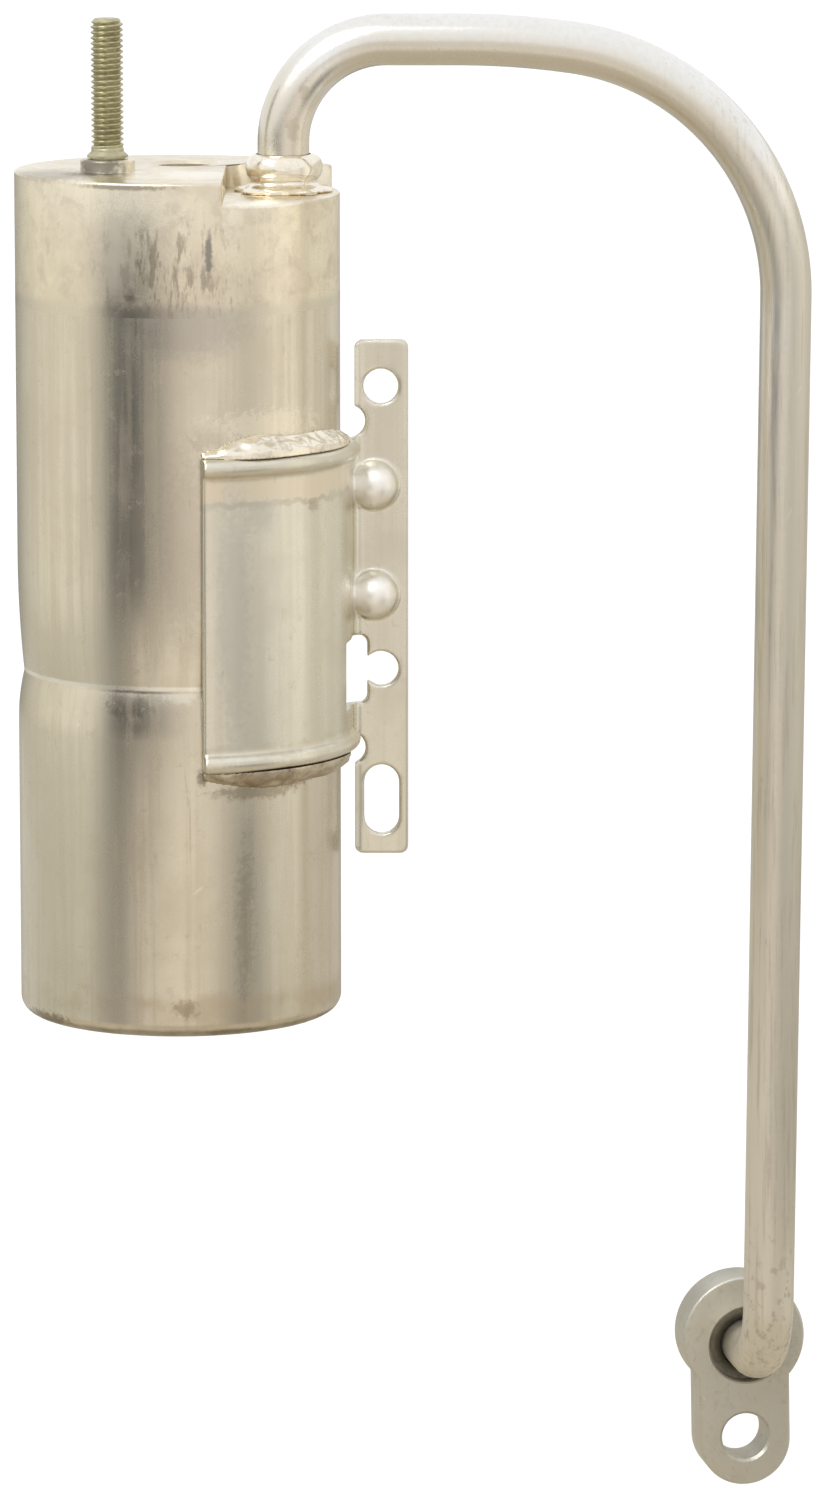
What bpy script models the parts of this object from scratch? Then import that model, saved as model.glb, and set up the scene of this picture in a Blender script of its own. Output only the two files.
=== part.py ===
# Automotive receiver drier: a drawn can closed by a machined header, a pressed bracket welded to its
# side, and an outlet tube that bends over and drops to a block fitting. Inside hangs a desiccant pack.
# Metres, +Z up. The origin is on the bracket's back face, midway between its two round holes.

import math
import random

import bmesh
import bpy
from mathutils import Matrix, Vector

# Gap kept between pieces that fit or seat on each other
GAP = 0.0003
# How far a cutter runs past the face that it enters
OVERRUN = 0.002

# Can
CAN_RADIUS = 0.030
CAN_WALL = 0.0016
CAN_FLOOR = 0.0030
CAN_HEIGHT = 0.1350
CAN_FOOT_RADIUS = 0.0030
GROOVE_Z = 0.0644
GROOVE_DEPTH = 0.0011
GROOVE_TAPER_UP = 0.022
GROOVE_TAPER_DOWN = 0.009
GIRTH_GROOVE = 0.0013
GIRTH_CROWN = 0.0001

# Header
HEADER_HEIGHT = 0.0222
HEADER_EDGE = 0.0005
SPIGOT_LENGTH = 0.008
SPIGOT_CHAMFER = 0.0008
POCKET_DEPTH = 0.0042
POCKET_LEFT_OF_TUBE = 0.0107
POCKET_BACK = 0.0094
POCKET_CORNER = 0.0030
INLET_TO_POCKET_WALL = 0.00215
INLET_Y = 0.0115
INLET_RADIUS = 0.00575
INLET_DEPTH = 0.0140
INLET_PASSAGE_RADIUS = 0.0038
BORE_CHAMFER = 0.0006
OUTLET_FROM_RIM = 0.0104
OUTLET_Y = 0.0
OUTLET_SOCKET_DEPTH = 0.0080
OUTLET_PASSAGE_RADIUS = 0.0032
PICKUP_SOCKET_DEPTH = 0.0050

# Stud that clamps the inlet fitting
STUD_X = -0.01255
STUD_Y = -0.0054
STUD_RADIUS = 0.00299
STUD_HEIGHT = 0.0281
STUD_DEPTH = 0.0100
STUD_TIP = 0.0008
STUD_FLARE_RADIUS = 0.00375
STUD_FLARE_HEIGHT = 0.0011
BOSS_RADIUS = 0.0050
BOSS_HEIGHT = 0.0024

# Outlet tube: straight runs and bends in order from the header
TUBE_RADIUS = 0.00476
TUBE_WALL = 0.0012
TUBE_RISE = 0.0238
FIRST_BEND_RADIUS = 0.0190
TOP_RUN = 0.0133
SLACK_BEND_RADIUS = 0.150
SLACK_BEND_ANGLE = math.radians(8.0)
MAIN_BEND_RADIUS = 0.046
MAIN_BEND_ANGLE = math.radians(82.5)
DROP_LENGTH = 0.1915
ELBOW_RADIUS = 0.012
ELBOW_RUN = 0.005

# Block fitting at the tube's lower end, seen from its front: a round head over a lug with a bolt hole
BLOCK_YAW = math.radians(10.0)
BLOCK_ROLL = math.radians(-1.2)
BLOCK_THICKNESS = 0.0090
BLOCK_SIDESTEP = -0.0007
HEAD_RISE = 0.0015
HEAD_RADIUS = 0.0118
LUG_RADIUS = 0.0088
LUG_DROP = 0.0188
BOLT_DROP = 0.0181
BOLT_HOLE_RADIUS = 0.0045
BLOCK_EDGE = 0.0005
RECESS_RADIUS = 0.0074
RECESS_DEPTH = 0.0032
BLOCK_SOCKET_DEPTH = 0.0028
PILOT_RADIUS = 0.0059
PILOT_LENGTH = 0.0055
PILOT_BORE_RADIUS = 0.0034
O_RING_RADIUS = 0.0009
O_RING_SEAT_Z = 0.0028
O_RING_GROOVE_HALF = 0.0013
O_RING_GROOVE_DEPTH = 0.0014
BRAZE_LEG = 0.0016
BRAZE_HOLLOW = 0.4

# Bracket: a sheet that wraps the can's side and turns out into a mounting strip
SHEET = 0.0020
SADDLE_START = math.radians(9.6)
SADDLE_BOTTOM = 0.0497
SADDLE_TOP = 0.1076
SADDLE_FLAT = 0.0005
BEND_INNER_RADIUS = 0.0020
STRIP_CLEAR_OF_CAN = 0.0026
STRIP_WIDTH = 0.0100
STRIP_BOTTOM = 0.0288
STRIP_TOP = 0.1256
STRIP_CORNER = 0.0015
HOLE_INSET = 0.0049
HOLE_RADIUS = 0.00325
TOP_HOLE_Z = 0.1169
MIDDLE_HOLE_Z = 0.0639
SLOT_Z = 0.0391
SLOT_LENGTH = 0.0131
WINDOW_INTO_SADDLE = 0.0030
WINDOW_INTO_STRIP = 0.0023
WINDOW_FRONT = -0.0080
WINDOW_BOTTOM = 0.0575
WINDOW_TOP = 0.0702
WINDOW_CORNER = 0.0015
RELIEF_RADIUS = 0.0030
RELIEF_INSET = 0.0010
TOP_RELIEF_RISE = 0.0028
BOTTOM_RELIEF_DROP = 0.0008
GUSSET_INSET = 0.0036
GUSSET_RADIUS = 0.0045
GUSSET_PUNCH_RADIUS = 0.0025
GUSSET_HEIGHTS = (0.0779, 0.0985)
LIP_RADIUS = 0.0017
LIP_END = math.radians(88.0)
FILLET_LEG = 0.0033
FILLET_RISE = 0.0036
FILLET_LUMP = 0.0003
FILLET_END_SHARE = 0.45
# Shares of the fillet's leg and rise along its section, from the lip to the can's wall
FILLET_SECTION = ((0.0, 0.0), (1.0, 0.0), (0.86, 0.34), (0.52, 0.62), (0.0, 1.0))

# Weld collar round the tube's foot
COLLAR_RADIUS = 0.0070
COLLAR_HEIGHT = 0.0070
COLLAR_SKIRT_RADIUS = 0.0088
COLLAR_SKIRT_EDGE = 0.0004
COLLAR_SKIRT_HEIGHT = 0.0009
COLLAR_WAIST_RADIUS = 0.0061
COLLAR_WAIST_HEIGHT = 0.0019
COLLAR_LUMP = 0.00025
COLLAR_BULGE_DEGREES = (-50.0, -20.0, 10.0, 40.0, 70.0)

# Desiccant pack and pickup inside the can
PICKUP_RADIUS = 0.0040
PICKUP_WALL = 0.0009
PICKUP_END_Z = 0.0126
STRAINER_RADIUS = 0.0068
STRAINER_WALL = 0.0008
STRAINER_CLEAR = 0.0006
STRAINER_SHOULDER_Z = 0.0118
STRAINER_TOP_Z = 0.0168
STRAINER_WINDOW = 0.0022
STRAINER_WINDOWS = 4
PLATE_THICKNESS = 0.0010
PLATE_SEAT_RISE = 0.0030
PLATE_HOLE_RADIUS = 0.0021
PLATE_INNER_RING = 0.0085
PLATE_INNER_HOLES = 5
PLATE_OUTER_RING_INSET = 0.0104
PLATE_OUTER_HOLES = 10
PLATE_WEB = 0.0012
PAD_THICKNESS = 0.0040
SPRING_LENGTH = 0.0081
SPRING_INSET = 0.0029
SPRING_WIRE = 0.0009
SPRING_TURNS = 3.0
SPRING_FLAT_TURNS = 0.75

# Facets round one turn, for the can, for bores, the stud and the block's turned shapes, and for holes
ROUND_LARGE = 40
ROUND_SMALL = 24
ROUND_HOLE = 20
ROUND_GUSSET = 16
ROUND_PUNCH = 12
ROUND_FLOW_HOLE = 8
O_RING_SECTION_STEPS = 7

# How finely a swept round section is divided, by Blender's bevel resolution
TUBE_RESOLUTION = 5
LIP_RESOLUTION = 3
SPRING_RESOLUTION = 1

# Steps along corners, bends, outlines, welds and the spring
CAN_FOOT_STEPS = 5
CAN_INNER_FOOT_STEPS = 3
CORNER_STEPS = 4
DOME_STEPS = 5
SLOT_END_STEPS = 10
FIRST_BEND_STEPS = 8
SLACK_BEND_STEPS = 2
MAIN_BEND_STEPS = 12
ELBOW_STEPS = 7
HEAD_STEPS = 26
LUG_STEPS = 14
SADDLE_STEPS = 18
BRACKET_BEND_STEPS = 6
COLLAR_STEPS = 26
FILLET_STEPS = 22
SPRING_STEPS_PER_TURN = 12

# Heights, radii and places that follow from the sizes above
HEADER_TOP = CAN_HEIGHT + GAP + HEADER_HEIGHT
HEADER_FOOT = CAN_HEIGHT + GAP
SPIGOT_END = HEADER_FOOT - SPIGOT_LENGTH
POCKET_FLOOR = HEADER_TOP - POCKET_DEPTH
CAN_BORE = CAN_RADIUS - CAN_WALL
OUTLET_X = CAN_RADIUS - OUTLET_FROM_RIM
POCKET_LEFT = OUTLET_X - POCKET_LEFT_OF_TUBE
INLET_X = POCKET_LEFT - INLET_TO_POCKET_WALL - INLET_RADIUS
SPRING_RADIUS = CAN_BORE - SPRING_INSET
PLATE_OUTER_RING = CAN_BORE - PLATE_OUTER_RING_INSET
SADDLE_MID_RADIUS = CAN_RADIUS + GAP + SHEET / 2
SADDLE_OUTER_RADIUS = CAN_RADIUS + GAP + SHEET
BEND_MID_RADIUS = BEND_INNER_RADIUS + SHEET / 2
STRIP_LEFT = CAN_RADIUS + STRIP_CLEAR_OF_CAN
STRIP_RIGHT = STRIP_LEFT + STRIP_WIDTH
HOLE_X = STRIP_LEFT + HOLE_INSET
GUSSET_X = STRIP_LEFT + GUSSET_INSET
WINDOW_LEFT = CAN_RADIUS - WINDOW_INTO_SADDLE
WINDOW_RIGHT = STRIP_LEFT + WINDOW_INTO_STRIP
STRIP_MID_Y = SADDLE_FLAT + BEND_MID_RADIUS
STRIP_FRONT_Y = STRIP_MID_Y - SHEET / 2
STRIP_BACK_Y = STRIP_MID_Y + SHEET / 2
O_RING_GROOVE_RADIUS = PILOT_RADIUS - O_RING_GROOVE_DEPTH
MOUNT_POINT = Vector((HOLE_X, STRIP_BACK_Y, (TOP_HOLE_Z + MIDDLE_HOLE_Z) / 2))


def clear_scene():
    for obj in list(bpy.data.objects):
        bpy.data.objects.remove(obj, do_unlink=True)


def new_collection(name):
    collection = bpy.data.collections.new(name)
    bpy.context.scene.collection.children.link(collection)
    return collection


def material(name, colour, roughness, metallic):
    made = bpy.data.materials.new(name)
    made.use_nodes = True
    shader = made.node_tree.nodes["Principled BSDF"]
    shader.inputs["Base Color"].default_value = (*colour, 1.0)
    shader.inputs["Roughness"].default_value = roughness
    shader.inputs["Metallic"].default_value = metallic
    made.diffuse_color = (*colour, 1.0)
    return made


def add_empty(name, location, rotation=(0.0, 0.0, 0.0), parent=None):
    empty = bpy.data.objects.new(name, None)
    empty.location = location
    empty.rotation_euler = rotation
    empty.parent = parent
    parts.objects.link(empty)
    return empty


# Places an object in the drier's frame, or in the frame of another parent
def place(obj, location=(0.0, 0.0, 0.0), rotation=(0.0, 0.0, 0.0), parent=None):
    obj.parent = parent or frame
    obj.location = location
    obj.rotation_euler = rotation
    return obj


def add_part(name, mesh, finish):
    obj = bpy.data.objects.new(name, mesh)
    mesh.materials.append(finish)
    parts.objects.link(obj)
    return obj


def add_cutter(name, mesh):
    obj = bpy.data.objects.new(name, mesh)
    obj.hide_render = True
    obj.display_type = "WIRE"
    cutters.objects.link(obj)
    return obj


def smooth(obj, angle=math.radians(35.0)):
    obj.data.shade_smooth()
    obj.data.set_sharp_from_angle(angle=angle)
    return obj


# A profile of (radius, height) pairs that runs down its outer side
def profile_mesh(name, profile, closed=False):
    mesh = bpy.data.meshes.new(name)
    points = [(radius, 0.0, height) for radius, height in profile]
    edges = [(i, i + 1) for i in range(len(points) - 1)]
    if closed:
        edges.append((len(points) - 1, 0))
    mesh.from_pydata(points, edges, [])
    return mesh


def spin_profile(obj, steps):
    screw = obj.modifiers.new("turn", "SCREW")
    screw.axis = "Z"
    screw.angle = math.tau
    screw.steps = steps
    screw.render_steps = steps
    screw.use_merge_vertices = True
    screw.merge_threshold = 0.00001
    screw.use_smooth_shade = True
    return obj


def turned_part(name, profile, finish, steps, closed=False):
    return spin_profile(add_part(name, profile_mesh(name, profile, closed), finish), steps)


def turned_cutter(name, profile, steps=ROUND_SMALL):
    return spin_profile(add_cutter(name, profile_mesh(name, profile)), steps)


# Points of an arc in a plane, from one angle to another
def arc(centre, radius, start, end, steps):
    span = [start + (end - start) * i / steps for i in range(steps + 1)]
    return [(centre[0] + radius * math.cos(a), centre[1] + radius * math.sin(a)) for a in span]


# Turns an evaluated curve into a mesh with its caps welded, and drops the curve
def mesh_from_curve(curve_obj):
    bpy.context.view_layer.update()
    evaluated = curve_obj.evaluated_get(bpy.context.evaluated_depsgraph_get())
    mesh = bpy.data.meshes.new_from_object(evaluated)
    mesh.name = curve_obj.name
    built = bmesh.new()
    built.from_mesh(mesh)
    bmesh.ops.remove_doubles(built, verts=built.verts, dist=0.000001)
    built.to_mesh(mesh)
    built.free()
    data = curve_obj.data
    bpy.data.objects.remove(curve_obj, do_unlink=True)
    bpy.data.curves.remove(data)
    mesh.materials.clear()
    return mesh


# A flat outline made solid, standing in the XY plane and centred on its thickness
def outline_mesh(name, points, thickness):
    curve = bpy.data.curves.new(name, "CURVE")
    curve.dimensions = "2D"
    curve.fill_mode = "BOTH"
    curve.extrude = thickness / 2
    spline = curve.splines.new("POLY")
    spline.points.add(len(points) - 1)
    for point, (x, y) in zip(spline.points, points):
        point.co = (x, y, 0.0, 1.0)
    spline.use_cyclic_u = True
    obj = bpy.data.objects.new(name, curve)
    cutters.objects.link(obj)
    return mesh_from_curve(obj)


# A round bar or tube along a route of points
def route_mesh(name, route, radius, resolution, capped):
    curve = bpy.data.curves.new(name, "CURVE")
    curve.dimensions = "3D"
    curve.bevel_depth = radius
    curve.bevel_resolution = resolution
    curve.use_fill_caps = capped
    spline = curve.splines.new("POLY")
    spline.points.add(len(route) - 1)
    for point, place_on_route in zip(spline.points, route):
        point.co = (*place_on_route, 1.0)
    obj = bpy.data.objects.new(name, curve)
    cutters.objects.link(obj)
    return mesh_from_curve(obj)


# Stands a mesh that lies in the XY plane up into the XZ plane, its thickness along Y
def stand_up(mesh):
    mesh.transform(Matrix.Rotation(math.radians(90.0), 4, "X"))
    return mesh


def box_mesh(name, low, high, corner=0.0, corner_axis=2):
    mesh = bpy.data.meshes.new(name)
    built = bmesh.new()
    bmesh.ops.create_cube(built, size=1.0)
    size = [high[i] - low[i] for i in range(3)]
    middle = [(high[i] + low[i]) / 2 for i in range(3)]
    bmesh.ops.scale(built, vec=size, verts=built.verts)
    bmesh.ops.translate(built, vec=middle, verts=built.verts)
    if corner > 0.0:
        along = [e for e in built.edges
                 if abs((e.verts[0].co - e.verts[1].co)[corner_axis]) > size[corner_axis] / 2]
        bmesh.ops.bevel(built, geom=along, offset=corner, segments=CORNER_STEPS, profile=0.5, affect="EDGES")
    built.to_mesh(mesh)
    built.free()
    return mesh


# Skins a row of sections that all have as many points. A row that closes on itself is a ring,
# and any other gets an end face at each end.
def loft_mesh(name, sections, ring=False):
    mesh = bpy.data.meshes.new(name)
    built = bmesh.new()
    rows = [[built.verts.new(point) for point in section] for section in sections]
    count = len(rows[0])
    last = len(rows) if ring else len(rows) - 1
    for i in range(last):
        here = rows[i]
        after = rows[(i + 1) % len(rows)]
        for j in range(count):
            k = (j + 1) % count
            built.faces.new((here[j], here[k], after[k], after[j]))
    if not ring:
        built.faces.new(rows[0])
        built.faces.new(rows[-1])
    bmesh.ops.recalc_face_normals(built, faces=built.faces)
    built.to_mesh(mesh)
    built.free()
    return mesh


def boolean(obj, other, operation="DIFFERENCE"):
    cut = obj.modifiers.new(other.name, "BOOLEAN")
    cut.operation = operation
    cut.object = other
    cut.solver = "EXACT"
    return cut


def bevel(obj, width, segments=2):
    edge = obj.modifiers.new("edge", "BEVEL")
    edge.width = width
    edge.segments = segments
    edge.limit_method = "ANGLE"
    edge.angle_limit = math.radians(40.0)
    return edge


# How far the rolled groove draws the can's wall in at a height: a sharp foot, a long taper above
def groove_inset(height):
    above = height - GROOVE_Z
    reach = GROOVE_TAPER_UP if above > 0.0 else GROOVE_TAPER_DOWN
    share = max(0.0, 1.0 - abs(above) / reach)
    return GROOVE_DEPTH * share ** 2


def groove_heights(steps_up=5, steps_down=3):
    down_to_foot = [GROOVE_Z + GROOVE_TAPER_UP * (1.0 - i / steps_up) ** 1.5 for i in range(steps_up)]
    below = [GROOVE_Z - GROOVE_TAPER_DOWN * (i / steps_down) ** 1.5 for i in range(steps_down + 1)]
    return down_to_foot + below


def make_can():
    heights = groove_heights()
    inner_foot = max(CAN_FOOT_RADIUS - CAN_WALL, CAN_WALL / 2)
    inside = [(0.0, CAN_FLOOR)]
    inside += arc((CAN_BORE - inner_foot, CAN_FLOOR + inner_foot), inner_foot, -math.pi / 2, 0.0,
                  CAN_INNER_FOOT_STEPS)
    inside += [(CAN_BORE - groove_inset(z), z) for z in reversed(heights)]
    inside.append((CAN_BORE, CAN_HEIGHT))
    outside = [(CAN_RADIUS - GIRTH_GROOVE, CAN_HEIGHT), (CAN_RADIUS, CAN_HEIGHT - GIRTH_GROOVE)]
    outside += [(CAN_RADIUS - groove_inset(z), z) for z in heights]
    outside += arc((CAN_RADIUS - CAN_FOOT_RADIUS, CAN_FOOT_RADIUS), CAN_FOOT_RADIUS, 0.0, -math.pi / 2,
                   CAN_FOOT_STEPS)
    outside.append((0.0, 0.0))
    can = turned_part("can", inside + outside, drawn_aluminium, ROUND_LARGE)
    return place(can)


# The weld metal that fills the groove between the can's rim and the header's shoulder
def make_header_weld():
    middle = CAN_HEIGHT + GAP / 2
    half = GIRTH_GROOVE + GAP / 2 - GAP * math.sqrt(2.0)
    section = [
        (CAN_RADIUS, half),
        (CAN_RADIUS + GIRTH_CROWN, 0.0),
        (CAN_RADIUS, -half),
        (CAN_RADIUS - half, 0.0),
    ]
    ring = turned_part("header_weld", section, weld_aluminium, ROUND_LARGE, closed=True)
    return place(ring, (0.0, 0.0, middle))


# A cutter for a bore that opens upwards: a chamfered mouth, the bore, and a narrower passage below
def bore_cutter(name, mouth, radius, floor, passage_radius, passage_end):
    profile = [
        (0.0, mouth + OVERRUN),
        (radius + BORE_CHAMFER + OVERRUN, mouth + OVERRUN),
        (radius, mouth - BORE_CHAMFER),
        (radius, floor),
        (passage_radius, floor),
        (passage_radius, passage_end),
        (0.0, passage_end),
    ]
    return turned_cutter(name, profile)


def make_header():
    spigot_radius = CAN_BORE - GAP
    profile = [
        (0.0, HEADER_TOP),
        (CAN_RADIUS - HEADER_EDGE, HEADER_TOP),
        (CAN_RADIUS, HEADER_TOP - HEADER_EDGE),
        (CAN_RADIUS, HEADER_FOOT + GIRTH_GROOVE),
        (CAN_RADIUS - GIRTH_GROOVE, HEADER_FOOT),
        (spigot_radius, HEADER_FOOT),
        (spigot_radius, SPIGOT_END + SPIGOT_CHAMFER),
        (spigot_radius - SPIGOT_CHAMFER, SPIGOT_END),
        (0.0, SPIGOT_END),
    ]
    header = place(turned_part("header", profile, machined_aluminium, ROUND_LARGE))

    boss = turned_cutter("stud_boss", [
        (0.0, BOSS_HEIGHT),
        (BOSS_RADIUS - HEADER_EDGE, BOSS_HEIGHT),
        (BOSS_RADIUS, BOSS_HEIGHT - HEADER_EDGE),
        (BOSS_RADIUS, -OVERRUN),
        (0.0, -OVERRUN),
    ])
    boolean(header, place(boss, (STUD_X, STUD_Y, HEADER_TOP)), "UNION")

    reach = CAN_RADIUS + OVERRUN
    pocket = add_cutter("tube_pocket", box_mesh(
        "tube_pocket", (POCKET_LEFT, -reach, POCKET_FLOOR), (reach, POCKET_BACK, HEADER_TOP + OVERRUN),
        POCKET_CORNER))
    boolean(header, place(pocket))

    inlet = bore_cutter("inlet_port", HEADER_TOP, INLET_RADIUS, HEADER_TOP - INLET_DEPTH,
                        INLET_PASSAGE_RADIUS, SPIGOT_END - OVERRUN)
    boolean(header, place(inlet, (INLET_X, INLET_Y, 0.0)))

    outlet = bore_cutter("outlet_socket", POCKET_FLOOR, TUBE_RADIUS + GAP,
                         POCKET_FLOOR - OUTLET_SOCKET_DEPTH, OUTLET_PASSAGE_RADIUS, SPIGOT_END - OVERRUN)
    boolean(header, place(outlet, (OUTLET_X, OUTLET_Y, 0.0)))

    pickup = turned_cutter("pickup_socket", [
        (0.0, SPIGOT_END + PICKUP_SOCKET_DEPTH),
        (PICKUP_RADIUS + GAP, SPIGOT_END + PICKUP_SOCKET_DEPTH),
        (PICKUP_RADIUS + GAP, SPIGOT_END - OVERRUN),
        (0.0, SPIGOT_END - OVERRUN),
    ], ROUND_HOLE)
    boolean(header, place(pickup, (OUTLET_X, OUTLET_Y, 0.0)))

    stud_hole = turned_cutter("stud_hole", [
        (0.0, BOSS_HEIGHT + OVERRUN),
        (STUD_RADIUS + GAP, BOSS_HEIGHT + OVERRUN),
        (STUD_RADIUS + GAP, -STUD_DEPTH - GAP),
        (0.0, -STUD_DEPTH - GAP),
    ], ROUND_HOLE)
    boolean(header, place(stud_hole, (STUD_X, STUD_Y, HEADER_TOP)))
    return header


def make_stud():
    seat = BOSS_HEIGHT + GAP
    profile = [
        (0.0, STUD_HEIGHT),
        (STUD_RADIUS - STUD_TIP, STUD_HEIGHT),
        (STUD_RADIUS, STUD_HEIGHT - STUD_TIP),
        (STUD_RADIUS, seat + STUD_FLARE_HEIGHT),
        (STUD_FLARE_RADIUS, seat + STUD_FLARE_HEIGHT / 3),
        (STUD_FLARE_RADIUS, seat),
        (STUD_RADIUS, seat),
        (STUD_RADIUS, -STUD_DEPTH),
        (0.0, -STUD_DEPTH),
    ]
    stud = turned_part("mounting_stud", profile, zinc_steel, ROUND_SMALL)
    return place(stud, (STUD_X, STUD_Y, HEADER_TOP))


# Extends a route by an arc that turns its heading about an axis, and returns the new heading
def bend(route, heading, axis, radius, angle, steps):
    pivot = route[-1] + axis.cross(heading) * radius
    arm = route[-1] - pivot
    for i in range(1, steps + 1):
        route.append(pivot + Matrix.Rotation(angle * i / steps, 3, axis) @ arm)
    return Matrix.Rotation(angle, 3, axis) @ heading


# The tube's centre line from its seat in the header to its seat in the block, the point where it
# meets the block's front face, and the way that it enters the block
def tube_route():
    side = Vector((0.0, 1.0, 0.0))
    heading = Vector((0.0, 0.0, 1.0))
    route = [Vector((OUTLET_X, OUTLET_Y, POCKET_FLOOR - OUTLET_SOCKET_DEPTH + GAP))]
    route.append(Vector((OUTLET_X, OUTLET_Y, HEADER_TOP + TUBE_RISE - FIRST_BEND_RADIUS)))
    heading = bend(route, heading, side, FIRST_BEND_RADIUS, math.pi / 2, FIRST_BEND_STEPS)
    route.append(route[-1] + heading * TOP_RUN)
    heading = bend(route, heading, side, SLACK_BEND_RADIUS, SLACK_BEND_ANGLE, SLACK_BEND_STEPS)
    heading = bend(route, heading, side, MAIN_BEND_RADIUS, MAIN_BEND_ANGLE, MAIN_BEND_STEPS)
    route.append(route[-1] + heading * DROP_LENGTH)
    into_block = Vector((-math.sin(BLOCK_YAW), math.cos(BLOCK_YAW), 0.0))
    turn_axis = heading.cross(into_block).normalized()
    bend(route, heading, turn_axis, ELBOW_RADIUS, heading.angle(into_block), ELBOW_STEPS)
    face_point = route[-1] + into_block * ELBOW_RUN
    route.append(face_point + into_block * (RECESS_DEPTH + BLOCK_SOCKET_DEPTH - GAP))
    return route, face_point


def make_outlet_tube(route):
    mesh = route_mesh("outlet_tube", route, TUBE_RADIUS, TUBE_RESOLUTION, capped=False)
    tube = place(add_part("outlet_tube", mesh, tube_aluminium))
    wall = tube.modifiers.new("wall", "SOLIDIFY")
    wall.thickness = TUBE_WALL
    wall.offset = -1.0
    wall.use_even_offset = True
    return smooth(tube)


# A lumpy collar of weld metal: a skirt on the pocket's floor, a waist, and a bulge round the tube
def make_outlet_weld():
    rng = random.Random(7)
    inner = TUBE_RADIUS + GAP
    waves = [(rng.uniform(0.4, 1.0), rng.randint(2, 6), rng.uniform(0.0, math.tau)) for _ in range(4)]
    sections = []
    for i in range(COLLAR_STEPS):
        turn = math.tau * i / COLLAR_STEPS
        lump = COLLAR_LUMP * sum(a * math.sin(n * turn + p) for a, n, p in waves) / 2
        bulge = COLLAR_RADIUS + lump
        skirt = COLLAR_SKIRT_RADIUS + 2 * lump * math.sin(turn + 1.0)
        top = COLLAR_HEIGHT + lump / 2
        section = [(inner, GAP), (skirt, GAP), (skirt - COLLAR_SKIRT_EDGE, COLLAR_SKIRT_HEIGHT),
                   (COLLAR_WAIST_RADIUS + lump, COLLAR_WAIST_HEIGHT)]
        middle = (top + COLLAR_WAIST_HEIGHT) / 2
        rise = (top - COLLAR_WAIST_HEIGHT) / 2
        for angle in COLLAR_BULGE_DEGREES:
            out = math.cos(math.radians(angle))
            up = math.sin(math.radians(angle))
            section.append((inner + (bulge - inner) * out, middle + rise * up))
        section.append((inner, top))
        sections.append([Vector((r * math.cos(turn), r * math.sin(turn), z)) for r, z in section])
    weld = add_part("outlet_weld", loft_mesh("outlet_weld", sections, ring=True), weld_aluminium)
    return smooth(place(weld, (OUTLET_X, OUTLET_Y, POCKET_FLOOR)), math.radians(60.0))


# The keyhole outline about the port's axis: a round head and below it a lug with a round end
def block_outline():
    shoulder = math.asin(LUG_RADIUS / HEAD_RADIUS)
    middle = (BLOCK_SIDESTEP, HEAD_RISE)
    head = arc(middle, HEAD_RADIUS, -math.pi / 2 + shoulder, 1.5 * math.pi - shoulder, HEAD_STEPS)
    lug = arc((BLOCK_SIDESTEP, -LUG_DROP), LUG_RADIUS, math.pi, math.tau, LUG_STEPS)
    return head + lug


def make_block(seat):
    mesh = stand_up(outline_mesh("block_fitting", block_outline(), BLOCK_THICKNESS))
    block = add_part("block_fitting", mesh, machined_aluminium)
    place(block, (0.0, BLOCK_THICKNESS / 2, 0.0), parent=seat)
    bevel(block, BLOCK_EDGE)

    # Turned shapes on the port's axis have their height along the way out of the front face
    outward = (math.radians(90.0), 0.0, 0.0)
    back = -BLOCK_THICKNESS
    groove_top = back - O_RING_SEAT_Z + O_RING_GROOVE_HALF
    groove_foot = back - O_RING_SEAT_Z - O_RING_GROOVE_HALF
    pilot = turned_cutter("pilot", [
        (0.0, back + OVERRUN),
        (PILOT_RADIUS, back + OVERRUN),
        (PILOT_RADIUS, groove_top),
        (O_RING_GROOVE_RADIUS, groove_top),
        (O_RING_GROOVE_RADIUS, groove_foot),
        (PILOT_RADIUS, groove_foot),
        (PILOT_RADIUS, back - PILOT_LENGTH + BLOCK_EDGE),
        (PILOT_RADIUS - BLOCK_EDGE, back - PILOT_LENGTH),
        (0.0, back - PILOT_LENGTH),
    ])
    boolean(block, place(pilot, rotation=outward, parent=seat), "UNION")

    port = turned_cutter("block_port", [
        (0.0, OVERRUN),
        (RECESS_RADIUS, OVERRUN),
        (RECESS_RADIUS, -RECESS_DEPTH),
        (TUBE_RADIUS + GAP, -RECESS_DEPTH),
        (TUBE_RADIUS + GAP, -RECESS_DEPTH - BLOCK_SOCKET_DEPTH),
        (PILOT_BORE_RADIUS, -RECESS_DEPTH - BLOCK_SOCKET_DEPTH),
        (PILOT_BORE_RADIUS, back - PILOT_LENGTH - OVERRUN),
        (0.0, back - PILOT_LENGTH - OVERRUN),
    ])
    boolean(block, place(port, rotation=outward, parent=seat))

    bolt_hole = turned_cutter("bolt_hole", [
        (0.0, OVERRUN),
        (BOLT_HOLE_RADIUS + BLOCK_EDGE + OVERRUN, OVERRUN),
        (BOLT_HOLE_RADIUS, -BLOCK_EDGE),
        (BOLT_HOLE_RADIUS, back + BLOCK_EDGE),
        (BOLT_HOLE_RADIUS + BLOCK_EDGE + OVERRUN, back - OVERRUN),
        (0.0, back - OVERRUN),
    ])
    boolean(block, place(bolt_hole, (BLOCK_SIDESTEP, 0.0, -BOLT_DROP), outward, seat))
    return smooth(block)


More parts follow.
